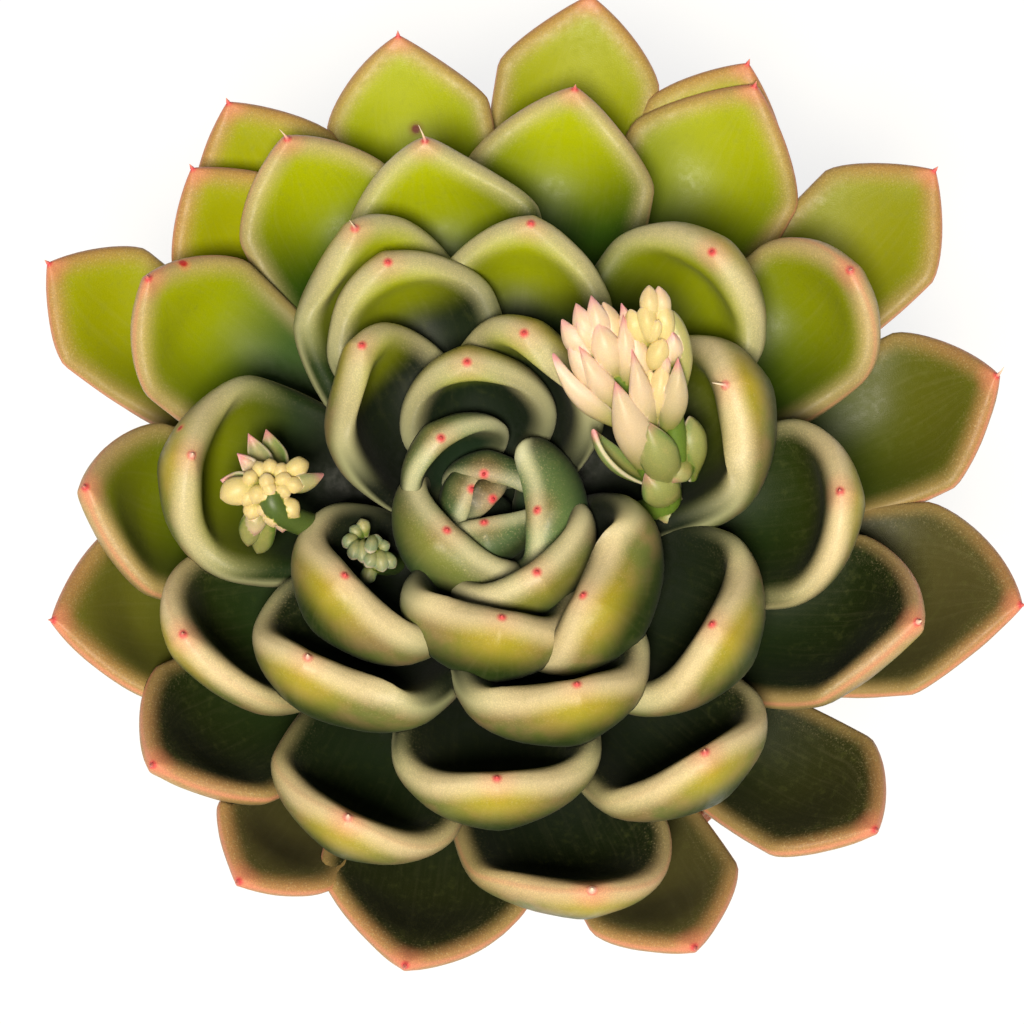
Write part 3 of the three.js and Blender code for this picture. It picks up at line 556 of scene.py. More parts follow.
def rosette_leaf(skin, row, rank, seed):
    right, up, width, thickness, turn, lean = row
    tip = leaf_tip(right, up)
    reach = math.hypot(tip[0], tip[1])
    azimuth = math.atan2(tip[1], tip[0]) + math.radians(turn)
    spread, sunk = rank ** FOOT_POWERS["radius"], rank ** FOOT_POWERS["height"]
    foot = heading(azimuth, 0) * lerp(HEART_FOOT["radius"], OUTER_FOOT["radius"], spread)
    foot[2] = lerp(HEART_FOOT["height"], OUTER_FOOT["height"], sunk)
    pointed = float(ease(*POINTED_LEANS, lean))
    u = stations(LEAF_STEPS)
    handle = lerp(TIP_HANDLE, CUPPED_TIP_HANDLE, float(ease(*CUPPED_LEANS, lean)))
    rise = math.radians(table(FOOT_RISES, rank))
    curve = midrib(foot, tip, heading(azimuth, rise), heading(azimuth, math.radians(lean)), handle, u)
    points, forward, _ = curve
    sideways = np.array([-math.sin(azimuth), math.cos(azimuth), 0])
    cup = table(CUP_RADII, reach)
    rings, margin, across, sine = blade_rings(
        curve, u, sideways, width, thickness, POINTED_TIP, pointed, cup, KEEL, LEAF_SIDES
    )
    body = rings.reshape(-1, 3)
    away = body - np.repeat(points[:-1], LEAF_SIDES, 0)
    wave = undulate(body, seed, *LEAF_UNEVEN) * ease(0, EVEN_MARGIN, nearest(body, margin))
    body = body + away / np.maximum(np.linalg.norm(away, axis=1), LEAF_CORE)[:, None] * wave[:, None]
    form = POINTS.get(seed + 1, OUTER_POINT if seed >= OUTER_POINTS_FROM else INNER_POINT)
    point, end = tip_rings(tip, forward[-1], unit(sideways - forward[-1] * (forward[-1] @ sideways)), form)
    verts = np.concatenate([body, point.reshape(-1, 3), points[:1], [end]])
    extra = len(point) * LEAF_SIDES
    on_blade_only = (0, extra + 2)
    dryness = np.repeat([form[4] * t**POINT_DRY_POWER for t, _ in POINT_SHAPE], LEAF_SIDES)
    skin.add(
        verts,
        ring_faces(len(rings) + len(point), LEAF_SIDES),
        along=np.concatenate([np.repeat(u[:-1], LEAF_SIDES), np.ones(extra), [0, 1]]),
        across=np.pad(np.tile(across * width / 2, len(rings)), on_blade_only),
        side=np.pad(np.tile(sine, len(rings)), on_blade_only),
        edge=nearest(verts, margin),
        tip=np.linalg.norm(verts - tip, axis=1),
        rank=rank,
        # How much painted light a leaf gets from its bearing
        sun=0.5 + 0.5 * math.cos(azimuth - PAINTED_LIGHT_BEARING),
        dry=np.concatenate([np.zeros(len(body)), dryness, [0, form[4]]]),
        seed=seed,
    )


def tip_rings(tip, forward, sideways, form):
    """Rings of the short hard point that a leaf ends in, and the point's own end."""
    length, radius, right, up, _ = form
    bend = RIGHTWARD * right + UPWARD * up
    angle = around(LEAF_SIDES)[:, None]
    circle = swung(sideways, np.cross(forward, sideways), angle)
    middles = [tip + forward * length * t + bend * t**POINT_BEND_POWER for t, _ in POINT_SHAPE]
    rings = [middle + circle * radius * r for middle, (_, r) in zip(middles, POINT_SHAPE)]
    return np.array(rings), tip + forward * length + bend


def leaflet(skin, row, heights, seed):
    right, up, lift, foot_right, foot_up, width, thickness, roll, pointed, cream = row
    tip = seen_at(right, up, table(heights, up) + lift)
    foot = seen_at(foot_right, foot_up, table(heights, foot_up))
    chord = unit(tip - foot)
    facing = unit(TOWARD - chord * (chord @ TOWARD))
    outward = swung(facing, np.cross(chord, facing), math.radians(roll))
    sideways = np.cross(chord, outward)
    u = stations(LEAFLET_STEPS)
    rise, lean = swung(outward, chord, LEAFLET_RISE), swung(outward, chord, LEAFLET_LEAN)
    curve = midrib(foot, tip, rise, lean, CUPPED_TIP_HANDLE, u)
    cup = width * LEAFLET_CUP
    rings, margin, _, _ = blade_rings(
        curve, u, sideways, width, thickness, BRACT_TIP, pointed, cup, LEAFLET_KEEL, LEAFLET_SIDES
    )
    verts = np.concatenate([rings.reshape(-1, 3), [foot, tip]])
    skin.add(
        verts,
        ring_faces(len(rings), LEAFLET_SIDES),
        along=np.concatenate([np.repeat(u[:-1], LEAFLET_SIDES), [0, 1]]),
        edge=nearest(verts, margin),
        tip=np.linalg.norm(verts - tip, axis=1),
        cream=cream,
        pointed=pointed,
        seed=seed,
    )


def smooth_line(points, steps):
    """A smooth curve through points."""
    points = np.array(points, float)
    padded = np.vstack([2 * points[0] - points[1], points, 2 * points[-1] - points[-2]])
    t = np.linspace(0, len(points) - 1, steps)
    i = np.minimum(t.astype(int), len(points) - 2)
    f = (t - i)[:, None]
    a, b, c, d = padded[i], padded[i + 1], padded[i + 2], padded[i + 3]
    return b + 0.5 * f * (c - a + f * (2 * a - 5 * b + 4 * c - d + f * (3 * (b - c) + d - a)))


def stalk(skin, line, radius, seed):
    direction = unit(np.gradient(line, axis=0))
    side = np.array([0.0, 0, 1])
    angle = around(STALK_SIDES)[:, None]
    rings = []
    for point, forward in zip(line, direction):
        side = unit(side - forward * (side @ forward))
        rings.append(point + radius * swung(side, np.cross(forward, side), angle))
    verts = np.concatenate([*rings, [line[0], line[-1] + direction[-1] * radius / 2]])
    skin.add(verts, ring_faces(len(rings), STALK_SIDES), along=-1, edge=9, tip=9, seed=seed)


def rounded(corners):
    """A profile through [radius, height, roundness] corners, as points about a ring's step apart."""
    places = [np.array(corner[:2], float) for corner in corners]
    line = [places[0]]
    for i in range(1, len(corners) - 1):
        back, on = unit(places[i - 1] - places[i]), unit(places[i + 1] - places[i])
        for t in np.linspace(0, 1, CORNER_STEPS):
            line.append(places[i] + corners[i][2] * ((1 - t) ** 2 * back + t**2 * on))
    line.append(places[-1])
    profile = [line[0]]
    for a, b in zip(line, line[1:]):
        steps = math.ceil(np.linalg.norm(b - a) / RING_STEP)
        profile += [lerp(a, b, (k + 1) / steps) for k in range(steps)]
    return np.array(profile)


def turned(skin, profile, sides, uneven, seed):
    """A closed surface about +Z through a profile that starts and ends on the axis."""
    size, swell, marks = uneven
    turn = around(sides)
    circle = np.stack([np.cos(turn), np.sin(turn), np.zeros(sides)], -1)
    upright = np.array([0, 0, 1.0])
    slope = unit(np.gradient(profile, axis=0))[1:-1]
    radius, height = profile[1:-1, 0], profile[1:-1, 1]
    rings = radius[:, None, None] * circle + height[:, None, None] * upright
    facing = slope[:, 1, None, None] * circle - slope[:, 0, None, None] * upright
    flat = rings.reshape(-1, 3)
    push = undulate(flat, seed, size, swell)
    push += undulate(flat * [MARK_STRETCH, MARK_STRETCH, 1], seed + 1, TURNING_MARK, marks)
    verts = flat + facing.reshape(-1, 3) * push[:, None]
    ends = np.array([[0, 0, profile[0, 1]], [0, 0, profile[-1, 1]]])
    verts = np.concatenate([verts, ends])
    skin.add(verts, ring_faces(len(rings), sides), rise=verts[:, 2])


def pot_radius(height):
    """Outer radius of the pot's tapering wall, without its rim band."""
    taper = (POT_RIM_RADIUS - POT_RIM_LEDGE - POT_FOOT_RADIUS) / (POT_HEIGHT - POT_RIM_HEIGHT)
    return POT_FOOT_RADIUS + taper * height


def make_pot():
    skin = Skin("rise")
    wall_top = POT_HEIGHT - POT_RIM_HEIGHT
    profile = rounded([
        (0, 0, 0),
        (POT_FOOT_RADIUS, 0, POT_EDGE),
        (pot_radius(wall_top), wall_top, LEDGE_EDGE),
        (POT_RIM_RADIUS, wall_top, POT_EDGE),
        (POT_RIM_RADIUS, POT_HEIGHT, POT_EDGE),
        (pot_radius(POT_HEIGHT) - POT_WALL, POT_HEIGHT, POT_EDGE),
        (pot_radius(POT_FLOOR) - POT_WALL, POT_FLOOR, FLOOR_EDGE),
        (0, POT_FLOOR, 0),
    ])
    turned(skin, profile, POT_SIDES, POT_UNEVEN, seed=1)
    replace_node(skin.object("fine_pot", clay_material()), "pot")


def make_soil():
    """The filled soil with its hole for the stem, and loose grit on top."""
    skin = Skin("rise", "kind")
    edge_height = POT_HEIGHT - SOIL_DROP
    edge_radius = pot_radius(edge_height) - POT_WALL - GAP
    bottom = POT_FLOOR + GAP
    hole_radius = STEM_RADIUS + GAP
    hole_bottom = CROWN_FOOT - STEM_DEPTH - GAP
    top = [
        (hole_radius, edge_height + SOIL_DOME),
        (edge_radius * SOIL_SHOULDER["radius"], edge_height + SOIL_DOME * SOIL_SHOULDER["height"]),
        (edge_radius, edge_height),
    ]
    profile = rounded([
        (0, bottom, 0),
        (pot_radius(bottom) - POT_WALL - GAP, bottom, POT_EDGE),
        (*top[2], GAP),
        (*top[1], POT_EDGE),
        (*top[0], GAP),
        (hole_radius, hole_bottom, GAP),
        (0, hole_bottom, 0),
    ])
    turned(skin, profile, SOIL_SIDES, SOIL_UNEVEN, seed=3)
    ball = bmesh.new()
    bmesh.ops.create_icosphere(ball, subdivisions=2, radius=1)
    places = np.array([vert.co for vert in ball.verts])
    faces = [tuple(vert.index for vert in face.verts) for face in ball.faces]
    ball.free()
    draw = np.random.default_rng(seed=7)
    for grain in range(GRAINS):
        radius = lerp(*GRAIN_RADII, draw.random() ** GRAIN_POWER)
        low, high = hole_radius + GRAIN_MARGIN, edge_radius - GRAIN_MARGIN
        away = math.sqrt(draw.uniform(low**2, high**2))
        bearing = draw.uniform(0, 2 * math.pi)
        turn = np.array(Euler(draw.uniform(0, 2 * math.pi, 3)).to_matrix())
        shape = places * draw.uniform(*GRAIN_SHAPE, 3) * radius
        shape = shape + places * undulate(shape, grain, *GRAIN_UNEVEN)[:, None] * radius
        middle = heading(bearing, 0) * away
        middle[2] = table(top, away) + radius * GRAIN_SINK
        verts = shape @ turn.T + middle
        skin.add(verts, faces, rise=verts[:, 2], kind=draw.uniform(*GRAIN_KINDS))
    replace_node(skin.object("fine_soil", soil_material()), "soil")


def make_stem():
    skin = Skin("rise")
    taper = [(STEM_RADIUS * radius, CROWN_HEIGHT * height, POT_EDGE) for height, radius in STEM_TAPER]
    profile = rounded([(0, -STEM_DEPTH, 0), (STEM_RADIUS, -STEM_DEPTH, POT_EDGE), *taper])
    turned(skin, profile, STEM_SIDES, STEM_UNEVEN, seed=5)
    replace_node(skin.object("fine_stem", stem_material(), CROWN_FOOT), "stem")


class Nodes:
    """Short calls that add shader nodes to one material and return their sockets."""

    def __init__(self, name):
        self.material = bpy.data.materials.new(name)
        self.material.use_nodes = True
        self.tree = self.material.node_tree
        self.shader = self.tree.nodes["Principled BSDF"]

    def node(self, kind, inputs=None, **settings):
        """A new node with its settings, and its inputs by name or number."""
        made = self.tree.nodes.new(kind)
        for key, value in settings.items():
            setattr(made, key, value)
        for key, value in (inputs or {}).items():
            self.put(made.inputs[key], value)
        return made

    def put(self, socket, value):
        if isinstance(value, bpy.types.NodeSocket):
            self.tree.links.new(value, socket)
        elif isinstance(value, str):
            socket.default_value = (*srgb(value), 1)
        else:
            socket.default_value = value

    def value(self, name):
        return self.node("ShaderNodeAttribute", attribute_name=name).outputs["Fac"]

    def values(self, *names):
        return [self.value(name) for name in names]

    def math(self, operation, a, b=0.0):
        return self.node("ShaderNodeMath", {0: a, 1: b}, operation=operation).outputs[0]

    def times(self, a, b):
        return self.math("MULTIPLY", a, b)

    def band(self, value, low, high, start=0.0, end=1.0):
        """value eased from start at low to end at high."""
        inputs = dict(enumerate((value, low, high, start, end)))
        return self.node("ShaderNodeMapRange", inputs, interpolation_type="SMOOTHSTEP").outputs[0]

    def mix(self, factor, a, b, blend="MIX"):
        inputs = {0: factor, 6: a, 7: b}
        return self.node("ShaderNodeMix", inputs, data_type="RGBA", blend_type=blend).outputs[2]

    def over(self, body, colour, *shares):
        """body with a colour over it, by the product of the shares."""
        share = shares[0]
        for other in shares[1:]:
            share = self.times(share, other)
        return self.mix(share, body, colour)

    def place(self, stretch=(1, 1, 1)):
        """The point in the row frame, in metres, stretched."""
        coordinate = self.node("ShaderNodeTexCoord").outputs["Object"]
        return self.node("ShaderNodeMapping", {"Vector": coordinate, "Scale": stretch}).outputs[0]

    def streaks(self, fineness, length):
        """Noise from 0 to 1 in streaks along a leaf, that many millimetres wide and that share long."""
        across = self.math("DIVIDE", self.value("across"), fineness)
        along = self.math("DIVIDE", self.value("along"), length)
        made = self.node("ShaderNodeCombineXYZ", {0: across, 1: along, 2: self.value("seed")})
        return self.noise(1, vector=made.outputs[0])

    def near(self, place, radius):
        """1 within a radius of a place in metres, eased to 0 a little outside it."""
        made = self.node("ShaderNodeVectorMath", {0: self.place(), 1: place}, operation="DISTANCE")
        return self.band(made.outputs["Value"], *(radius * share for share in MARK_SOFTNESS), 1, 0)

    def noise(self, size, detail=3.0, roughness=0.55, vector=None, distortion=0.0):
        """Fractal noise from 0 to 1 with blobs of about that size in metres."""
        inputs = {
            "Vector": vector or self.place(),
            "Scale": 1 / size,
            "Detail": detail,
            "Roughness": roughness,
            "Distortion": distortion,
        }
        return self.node("ShaderNodeTexNoise", inputs).outputs[0]

    def bump(self, height, distance):
        made = self.node("ShaderNodeBump", {"Height": height, "Distance": distance})
        self.put(self.shader.inputs["Normal"], made.outputs[0])

    def finish(self, colour, roughness, gloss=0.5, inside=0.0, bloom=0.0):
        """Specular level, share of light that scatters under the surface, and a pale waxy bloom."""
        inputs = {
            "Base Color": colour,
            "Roughness": roughness,
            "Specular IOR Level": gloss,
            "Sheen Weight": bloom,
            "Sheen Roughness": BLOOM_ROUGHNESS,
            "Subsurface Weight": inside,
            "Subsurface Radius": INSIDE_SPREAD,
            "Subsurface Scale": INSIDE_DEPTH,
        }
        for name, value in inputs.items():
            self.put(self.shader.inputs[name], value)
        return self.material


def srgb(code):
    """A colour written as six hex digits, as linear light."""
    parts = [int(code[i : i + 2], 16) / 255 for i in (0, 2, 4)]
    return [c / 12.92 if c <= 0.04045 else ((c + 0.055) / 1.055) ** 2.4 for c in parts]


def leaf_material(marks):
    n = Nodes("waxy_leaf")
    along, edge, tip, rank, side, sun = n.values("along", "edge", "tip", "rank", "side", "sun")
    patches = n.noise(3.5 * MM)
    mottle = n.noise(0.9 * MM, detail=4)
    specks = n.noise(0.22 * MM, detail=2, roughness=0.7)
    grain = n.noise(0.13 * MM, detail=2, roughness=0.7)
    streaks = n.streaks(0.5, 0.25)

    # Inner side: painted shade, nearly black at its foot and deep green above, then yellow-green towards the
    # tip, painted lighter on the leaves facing the painted light's bearing and a painted-shade dark green on
    # those across from it. The further out a leaf lies, the further its bright end reaches down from the tip.
    reach = n.math("ADD", n.band(rank, 0.1, 0.45, 4, 12), n.band(rank, 0.5, 0.95, 0, 10))
    bright = n.band(tip, n.times(reach, 0.35), n.times(reach, 1.3), 1, 0)
    painted_shade_green = n.mix(n.band(rank, 0.72, 0.92), "1c2408", "504c26")
    painted_lit_green = n.mix(n.band(rank, 0.6, 0.9), "a2ae00", "949a00")
    painted_lit_green = n.mix(n.band(sun, 0.28, 0.92), painted_shade_green, painted_lit_green)
    deep = n.mix(n.times(sun, n.band(rank, 0.2, 0.7)), "0f180a", "2c4c00")
    inner = n.mix(bright, deep, painted_lit_green)
    inner = n.mix(n.band(along, 0.6, 0.35), inner, "0a1206")
    # The pale lip, partly the leaf's own pale margin and partly painted highlight: wider on the leaves facing
    # the painted light, paler on those across from it, palest near the tip, and more peach further out
    lip_end = n.band(rank, 0.45, 0.8, 10, 20)
    lip = n.band(tip, lip_end, n.times(lip_end, 1.5), 0.92, 0)
    lip = n.times(lip, n.band(edge, 0.3, n.band(sun, 0.1, 0.6, 2.2, 3), 1, 0))
    pale_rim = n.mix(n.band(sun, 0.4, 0.9), "d2c296", "b2ac80")
    rim = n.mix(n.band(rank, 0.45, 0.8), pale_rim, "a87c50")
    rim = n.mix(n.band(tip, 5, 14), rim, n.mix(n.band(rank, 0.35, 0.75), "9a9e74", "98804e"))
    inner = n.mix(lip, inner, rim)
    # Outer side: the rim, then beige and olive in patches, yellower near the tip, and dark green below, the
    # leaf's own green darkened there as painted shade
    dull = n.mix(n.band(patches, 0.35, 0.65), "84744a", "667036")
    outer = n.mix(n.band(tip, 1.5, 8, 0.85, 0), dull, "a6981e")
    outer = n.mix(n.band(edge, 2.6, 6.2), outer, "2c3e10")
    outer = n.mix(n.band(edge, 0.2, 2.4), rim, outer)
    body = n.mix(n.band(side, -0.12, 0.12), outer, inner)
    # Heart leaves are bluish green with a narrow pale rim, darker towards their feet as painted shade
    heart = n.mix(n.band(along, 0.6, 0.97), "162a16", "4a6a40")
    heart = n.mix(n.band(edge, 0, 1.4, 0.85, 0), heart, "bcc098")
    body = n.mix(n.band(rank, 0.06, 0.2, 0.95, 0), body, heart)
    # The innermost leaves are painted darker still, as shade deep in the heart
    body = n.mix(n.band(rank, 0, 0.07, 0.6, 0), body, "1c2c16")
    # Faint streaks, mottling and pale specks, faded out on the painted-shade foot, and a thin pink edge line
    # on the outer leaves
    lit = n.band(along, 0.5, 0.9, 0.1, 1)
    body = n.over(body, "d8cf9c", n.band(streaks, 0.45, 0.8, 0, 0.03), lit)
    body = n.over(body, "6c7430", n.band(mottle, 0.5, 0.75, 0, 0.14), lit)
    body = n.over(body, "d2c294", n.band(specks, 0.52, 0.75, 0, 0.3), n.band(edge, 0.8, 4, 1, 0.04), lit)
    body = n.over(body, "c98468", n.band(edge, 0, 0.5, 0.75, 0), n.band(rank, 0.45, 0.8))
    # Blush round the tip, stronger further out, and the red point with its dry end
    body = n.over(body, "d87f66", n.band(tip, 0.4, 3, 0.55, 0), n.band(rank, 0.2, 0.8, 0.3, 1))
    body = n.over(body, "cf3848", n.band(tip, 0.15, 0.75, 0.9, 0))
    body = n.over(body, "f0dcc4", n.value("dry"))
    for place, radius, kind in marks:
        halo, spot = MARK_COLOURS[kind]
        body = n.over(body, halo, n.near(place, radius * MARK_HALO * MM), 0.5)
        body = n.over(body, spot, n.near(place, radius * MM))
    # Pale wax bloom near the margins, partly a painted highlight on the crests, faded out on the
    # painted-shade foot
    bloom_and_highlight = n.times(n.band(grain, 0.4, 0.7, 0, 0.6), n.band(edge, 0.2, 4, lit, 0.1))
    colour = n.mix(bloom_and_highlight, body, "fff4dc", blend="SOFT_LIGHT")
    n.bump(grain, 0.02 * MM)
    roughness = n.band(mottle, 0.3, 0.7, n.band(along, 0.4, 0.8, 0.75, 0.38), 0.54)
    return n.finish(colour, roughness, gloss=0.26, bloom=0.02)


def shoot_material(name, stalk_green_and_shade, leafy):
    """A shoot with a stalk of one colour, its green darkened as painted shade, whose green leaflets end in
    another.
    """
    n = Nodes(name)
    along, edge, tip, cream, pointed = n.values("along", "edge", "tip", "cream", "pointed")
    patches = n.noise(1.2 * MM)
    grain = n.noise(0.12 * MM, detail=2, roughness=0.7)
    green = n.mix(n.band(along, 0.1, 0.85), "4c6a1c", leafy)
    green = n.mix(n.band(along, -0.8, -0.2), stalk_green_and_shade, green)
    bract = n.mix(n.band(along, 0.1, 0.65), "7e8c34", "e8cdb6")
    bud = n.mix(n.band(along, 0, 0.5), "98a03a", "dccc8c")
    pale = n.mix(n.band(pointed, 0.15, 0.6), bud, bract)
    body = n.mix(n.band(cream, 0.1, 0.8), green, pale)
    leaflet = n.band(along, -0.4, -0.05)
    body = n.over(body, "c9a878", n.band(patches, 0.5, 0.8, 0, 0.2), leaflet)
    body = n.over(body, "f6e2cc", n.band(edge, 0.05, 0.35, 0.5, 0), leaflet)
    body = n.over(body, "b9a468", n.band(edge, 0.4, 1.1, 0, 0.3), leaflet)
    body = n.over(body, "dc7f92", n.band(tip, 0.2, 2, 0.8, 0), n.band(pointed, 0.2, 0.8, 0.1, 1))
    colour = n.mix(n.band(grain, 0.35, 0.75, 0, 0.35), body, "fff6e0", blend="SOFT_LIGHT")
    n.bump(grain, 0.01 * MM)
    return n.finish(colour, 0.45, gloss=0.4, inside=0.2)


def clay_material():
    """Fired clay, paler in patches where water has left its salts."""
    n = Nodes("fired_clay")
    rise = n.value("rise")
    clouds = n.noise(9 * MM, detail=5)
    grain = n.noise(0.3 * MM, detail=4, roughness=0.65)
    rings = n.noise(1.2 * MM, vector=n.place((0.06, 0.06, 1)))
    colour = n.mix(clouds, "9c4a28", "bf6f45")
    colour = n.mix(n.band(rings, 0.4, 0.7, 0, 0.25), colour, "d08a5e")
    salts = n.noise(4 * MM, detail=6, roughness=0.6, distortion=0.6)
    low = n.times(n.band(salts, 0.45, 0.68, 0, 0.6), n.band(rise, 4, 22, 1, 0))
    high = n.times(n.band(salts, 0.42, 0.66, 0, 0.55), n.band(rise, 26, 38))
    colour = n.mix(n.math("MAXIMUM", low, high), colour, "dcc4ac")
    colour = n.mix(n.band(grain, 0.55, 0.72, 0, 0.4), colour, "7c3a22")
    n.bump(grain, 0.06 * MM)
    return n.finish(colour, n.band(clouds, 0.3, 0.7, 0.78, 0.92), gloss=0.25)


def soil_material():
    """Dark peat between pale pumice, grey and reddish grit."""
    n = Nodes("gritty_soil")
    kind = n.value("kind")
    fine = n.noise(0.4 * MM, detail=4, roughness=0.65)
    peat = n.mix(n.noise(2.5 * MM, detail=4), "1d130c", "40301f")
    grit = n.mix(n.band(kind, 0.3, 0.34), "5c3a2a", "6e685e")
    grit = n.mix(n.band(kind, 0.66, 0.7), grit, "b9ac94")
    colour = n.mix(n.band(kind, 0.02, 0.08), peat, grit)
    colour = n.mix(n.band(fine, 0.4, 0.7, 0, 0.5), colour, "2a2018")
    n.bump(fine, 0.12 * MM)
    return n.finish(colour, 0.94, gloss=0.2)


def stem_material():
    """Corky bark ringed by leaf scars, turning higher up to a green darkened nearly to black as painted shade
    between the heart leaves.
    """
    n = Nodes("corky_stem")
    bark = n.mix(n.noise(1.2 * MM, detail=4), "54442c", "94825a")
    scars = n.noise(0.9 * MM, vector=n.place((0.15, 0.15, 1)))
    bark = n.mix(n.band(scars, 0.5, 0.65, 0, 0.6), bark, "3a2c1c")
    colour = n.mix(n.band(n.value("rise"), 3, 10), bark, "101a0a")
    n.bump(n.noise(0.5 * MM, detail=4), 0.15 * MM)
    return n.finish(colour, 0.82, gloss=0.25)


def replace_node(piece, node):
    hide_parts(node)
    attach(piece, ROOT)


def grown(piece, margin):
    """A copy of a piece that is larger by a margin all over."""
    mesh = piece.data.copy()
    normals = np.zeros(len(mesh.vertices) * 3)
    places = np.zeros(len(mesh.vertices) * 3)
    mesh.vertex_normals.foreach_get("vector", normals)
    mesh.vertices.foreach_get("co", places)
    mesh.vertices.foreach_set("co", places + normals * margin)
    return bpy.data.objects.new(piece.name + "_grown", mesh)


def box_of(piece):
    corners = np.array([v.co for v in piece.data.vertices])
    return corners.min(0), corners.max(0)


def meeting(box, cutters):
    """The cutters whose own boxes meet a box."""
    return [cutter for cutter, (low, high) in cutters if np.all(box[0] < high) and np.all(low < box[1])]


def keep_largest(mesh):
    """Drops every body of a mesh but the one with the most vertices."""
    shape = bmesh.new()
    shape.from_mesh(mesh)
    left, bodies = set(shape.verts), []
    while left:
        body, queue = [], [left.pop()]
        while queue:
            vert = queue.pop()
            body.append(vert)
            beside = {edge.other_vert(vert) for edge in vert.link_edges} & left
            left -= beside
            queue += beside
        bodies.append(body)
    bodies.sort(key=len)
    bmesh.ops.delete(shape, geom=[v for body in bodies[:-1] for v in body], context="VERTS")
    shape.to_mesh(mesh)
    shape.free()


def combined(piece, others, operation):
    """The mesh of a piece once others are added to it or cut away from it."""
    group = bpy.data.collections.new("others")
    bpy.context.scene.collection.children.link(group)
    for other in others:
        group.objects.link(other)
    step = piece.modifiers.new("combine", "BOOLEAN")
    step.operation = operation
    step.operand_type = "COLLECTION"
    step.collection = group
    step.solver = "MANIFOLD"
    bpy.context.view_layer.update()
    evaluated = piece.evaluated_get(bpy.context.evaluated_depsgraph_get())
    mesh = bpy.data.meshes.new_from_object(evaluated)
    piece.modifiers.clear()
    bpy.data.collections.remove(group)
    return mesh


def values_of(mesh, name):
    gathered = np.zeros(len(mesh.vertices))
    mesh.attributes[name].data.foreach_get("value", gathered)
    return gathered


def look_up_values(mesh, wholes):
    """Gives a combined mesh's vertices the values of the whole meshes near them."""
    names = [a.name for a in wholes[0].attributes if a.data_type == "FLOAT" and a.domain == "POINT"]
    places = [vert.co for whole in wholes for vert in whole.vertices]
    tree = KDTree(len(places))
    for index, place in enumerate(places):
        tree.insert(place, index)
    tree.balance()
    near = [tree.find_n(vert.co, NEIGHBOURS) for vert in mesh.vertices]
    index = np.array([[found[1] for found in some] for some in near])
    weight = 1 / (np.array([[found[2] for found in some] for some in near]) + TINY)
    weight /= weight.sum(1, keepdims=True)
    for name in names:
        source = np.concatenate([values_of(whole, name) for whole in wholes])
        target = mesh.attributes.get(name) or mesh.attributes.new(name, "FLOAT", "POINT")
        target.data.foreach_set("value", (source[index] * weight).sum(1))


def press(piece, cutters, wholes):
    """Cuts away what the cutters take, and keeps the largest body."""
    mesh = combined(piece, cutters, "DIFFERENCE") if cutters else piece.data.copy()
    keep_largest(mesh)
    look_up_values(mesh, wholes)
    mesh.set_sharp_from_angle(angle=CUT_ANGLE)
    piece.data = mesh


def seen_on(piece, right, up):
    """The point of a piece that the viewer sees at [right, up] of the heart, or None."""
    places, faces = [v.co for v in piece.data.vertices], [p.vertices for p in piece.data.polygons]
    tree = BVHTree.FromPolygons(places, faces)
    lift = np.array([0, 0, CROWN_FOOT])
    eye = HEART + TOWARD * VIEW_DISTANCE
    ray = seen_at(right, up, 0) - eye
    return tree.ray_cast(Vector((eye + lift) * MM), Vector(ray))[0]


def make_leaves():
    """Every leaf is cut where those further in press into it. Returns the larger copies that cut."""
    further_in, pieces = [], []
    for index, row in enumerate(LEAVES):
        skin = Skin("along", "across", "side", "edge", "tip", "rank", "sun", "dry", "seed")
        rosette_leaf(skin, row, index / (len(LEAVES) - 1), index)
        node = f"leaf_{index + 1:02d}"
        piece = skin.object("fine_" + node, None, CROWN_FOOT)
        box = box_of(piece)
        larger = grown(piece, PRESS_GAP)
        press(piece, meeting(box, further_in), [piece.data])
        further_in.append((larger, box))
        pieces.append(piece)
    marks = [(seen_on(pieces[leaf - 1], right, up), radius, kind) for leaf, right, up, radius, kind in MARKS]
    material = leaf_material([mark for mark in marks if mark[0] is not None])
    for index, piece in enumerate(pieces):
        piece.data.materials.clear()
        piece.data.materials.append(material)
        replace_node(piece, f"leaf_{index + 1:02d}")
    return further_in


def make_shoot(node, plan, material, leaves):
    """One body of a shoot's stalks and leaflets, cut where the leaves press into it."""
    heights = plan["heights"]
    shells = []

    def shell(build, *given):
        skin = Skin("along", "edge", "tip", "cream", "pointed", "seed")
        build(skin, *given, len(shells))
        shells.append(skin.object(f"{node}_shell_{len(shells):02d}", material, CROWN_FOOT))

    start = plan["stem"]
    for radius, places in plan["stalks"]:
        points = [seen_at(right, up, table(heights, up)) for right, up in places]
        shell(stalk, smooth_line([*start, *points], STALK_STEPS), radius)
        start = []
    for row in plan["leaflets"]:
        shell(leaflet, row, heights)
    piece, others = shells[0], shells[1:]
    wholes = [made.data for made in shells]
    piece.data = combined(piece, others, "UNION")
    for other in others:
        bpy.data.objects.remove(other)
    press(piece, meeting(box_of(piece), leaves), wholes)
    piece.name = "fine_" + node
    replace_node(piece, node)


def make_stage():
    floor = bpy.data.meshes.new("floor")
    corners = [(x * FLOOR_HALF, y * FLOOR_HALF, 0) for x, y in ((-1, -1), (1, -1), (1, 1), (-1, 1))]
    floor.from_pydata(corners, [], [(0, 1, 2, 3)])
    n = Nodes("pale_floor")
    n.shader.inputs["Emission Color"].default_value = (1, 1, 1, 1)
    n.shader.inputs["Emission Strength"].default_value = FLOOR_GLOW
    floor.materials.append(n.finish(FLOOR_COLOUR, 0.9))
    new_object("floor", floor)


def aim(made, back, distance):
    """Puts a light or camera a distance in metres from the heart, facing it."""
    made.location = HEART_PLACE + back * distance
    made.rotation_euler = back.to_track_quat("Z", "Y").to_euler()


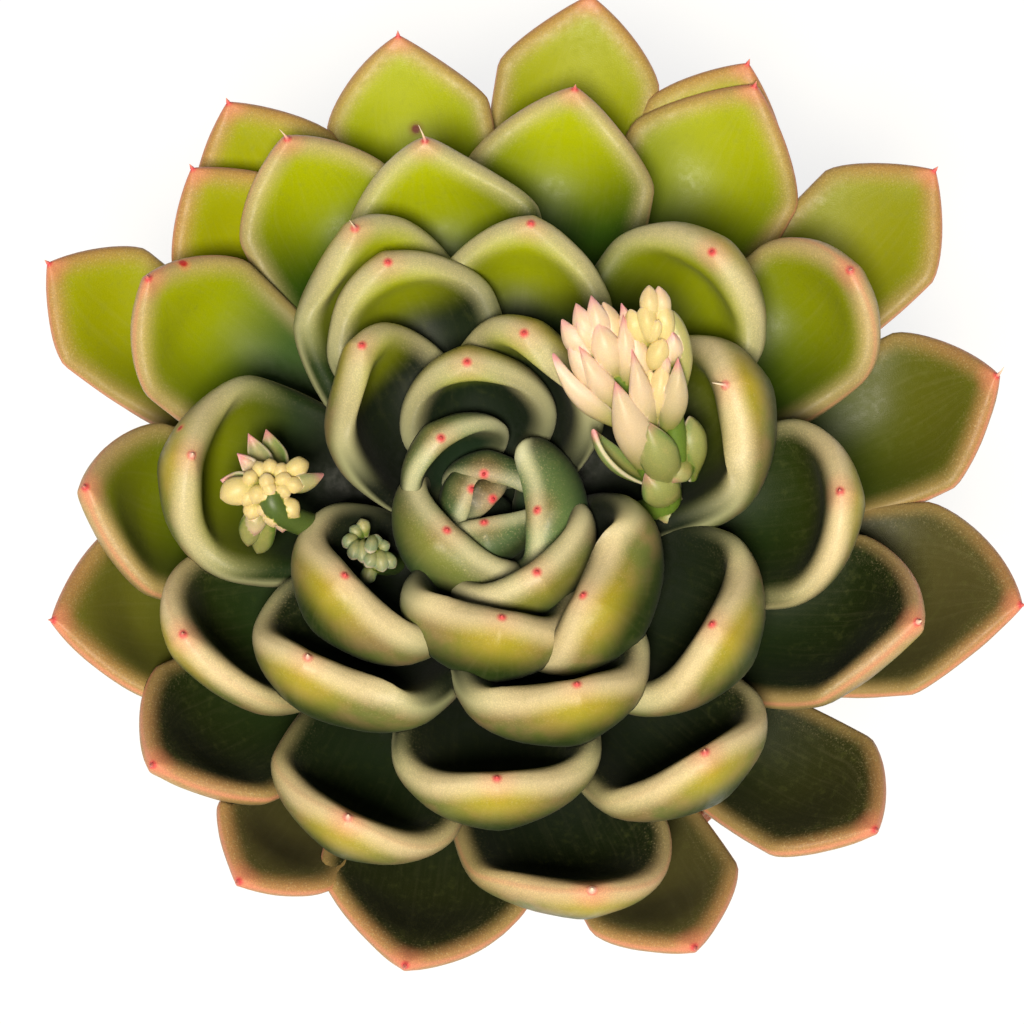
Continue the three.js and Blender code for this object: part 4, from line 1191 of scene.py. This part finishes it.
def add_light(name, azimuth, elevation, distance, size, power, colour):
    """A round area light that faces the heart."""
    a, e = math.radians(azimuth), math.radians(elevation)
    back = Vector((math.sin(a) * math.cos(e), -math.cos(a) * math.cos(e), math.sin(e)))
    light = bpy.data.lights.new(name, "AREA")
    light.shape = "DISK"
    light.size = size
    light.energy = power
    light.color = srgb(colour)
    aim(new_object(name, light), back, distance)


def make_lights():
    add_light("key", **KEY)
    add_light("fill", **FILL)
    world = bpy.data.worlds.new("studio")
    world.use_nodes = True
    tree = world.node_tree
    background = tree.nodes["Background"]
    background.inputs["Color"].default_value = (*srgb(SKY_COLOUR), 1)
    seen = tree.nodes.new("ShaderNodeLightPath").outputs["Is Camera Ray"]
    strength = tree.nodes.new("ShaderNodeMapRange")
    strength.inputs["To Min"].default_value = SKY_LIGHT
    strength.inputs["To Max"].default_value = SKY_SEEN
    tree.links.new(seen, strength.inputs["Value"])
    tree.links.new(strength.outputs[0], background.inputs["Strength"])
    bpy.context.scene.world = world
    bpy.context.scene.view_settings.view_transform = "Standard"


def make_camera():
    camera = bpy.data.cameras.new("camera")
    camera.sensor_width = SENSOR
    camera.lens = PIXELS_PER_MM * VIEW_DISTANCE / FRAME_PIXELS * SENSOR
    camera.shift_x = (FRAME_PIXELS / 2 - HEART_PIXEL[0]) / FRAME_PIXELS
    camera.shift_y = (HEART_PIXEL[1] - FRAME_PIXELS / 2) / FRAME_PIXELS
    camera.clip_start = NEAREST_SEEN
    made = new_object("camera", camera)
    aim(made, Vector(TOWARD), VIEW_DISTANCE * MM)
    bpy.context.scene.camera = made


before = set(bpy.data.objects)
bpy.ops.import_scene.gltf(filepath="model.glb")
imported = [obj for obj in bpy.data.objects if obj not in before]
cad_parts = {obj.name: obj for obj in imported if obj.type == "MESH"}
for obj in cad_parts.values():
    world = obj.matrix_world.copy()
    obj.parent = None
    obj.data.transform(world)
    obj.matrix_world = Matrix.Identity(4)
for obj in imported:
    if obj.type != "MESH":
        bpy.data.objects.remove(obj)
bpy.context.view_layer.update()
make_camera()
make_lights()
make_stage()
make_pot()
make_soil()
make_stem()
leaves = make_leaves()
# The stalk greens are darkened as painted shade
large = shoot_material("large_flower_shoot", "5a7426", "728c4c")
small = shoot_material("small_flower_shoot", "4a5f28", "7c8f54")
young = shoot_material("young_shoot", "34481a", "76926c")
make_shoot("flower_shoot_large", LARGE_SHOOT, large, leaves)
make_shoot("flower_shoot_small", SMALL_SHOOT, small, leaves)
make_shoot("young_shoot", YOUNG_SHOOT, young, leaves)
for larger, _ in leaves:
    bpy.data.objects.remove(larger)
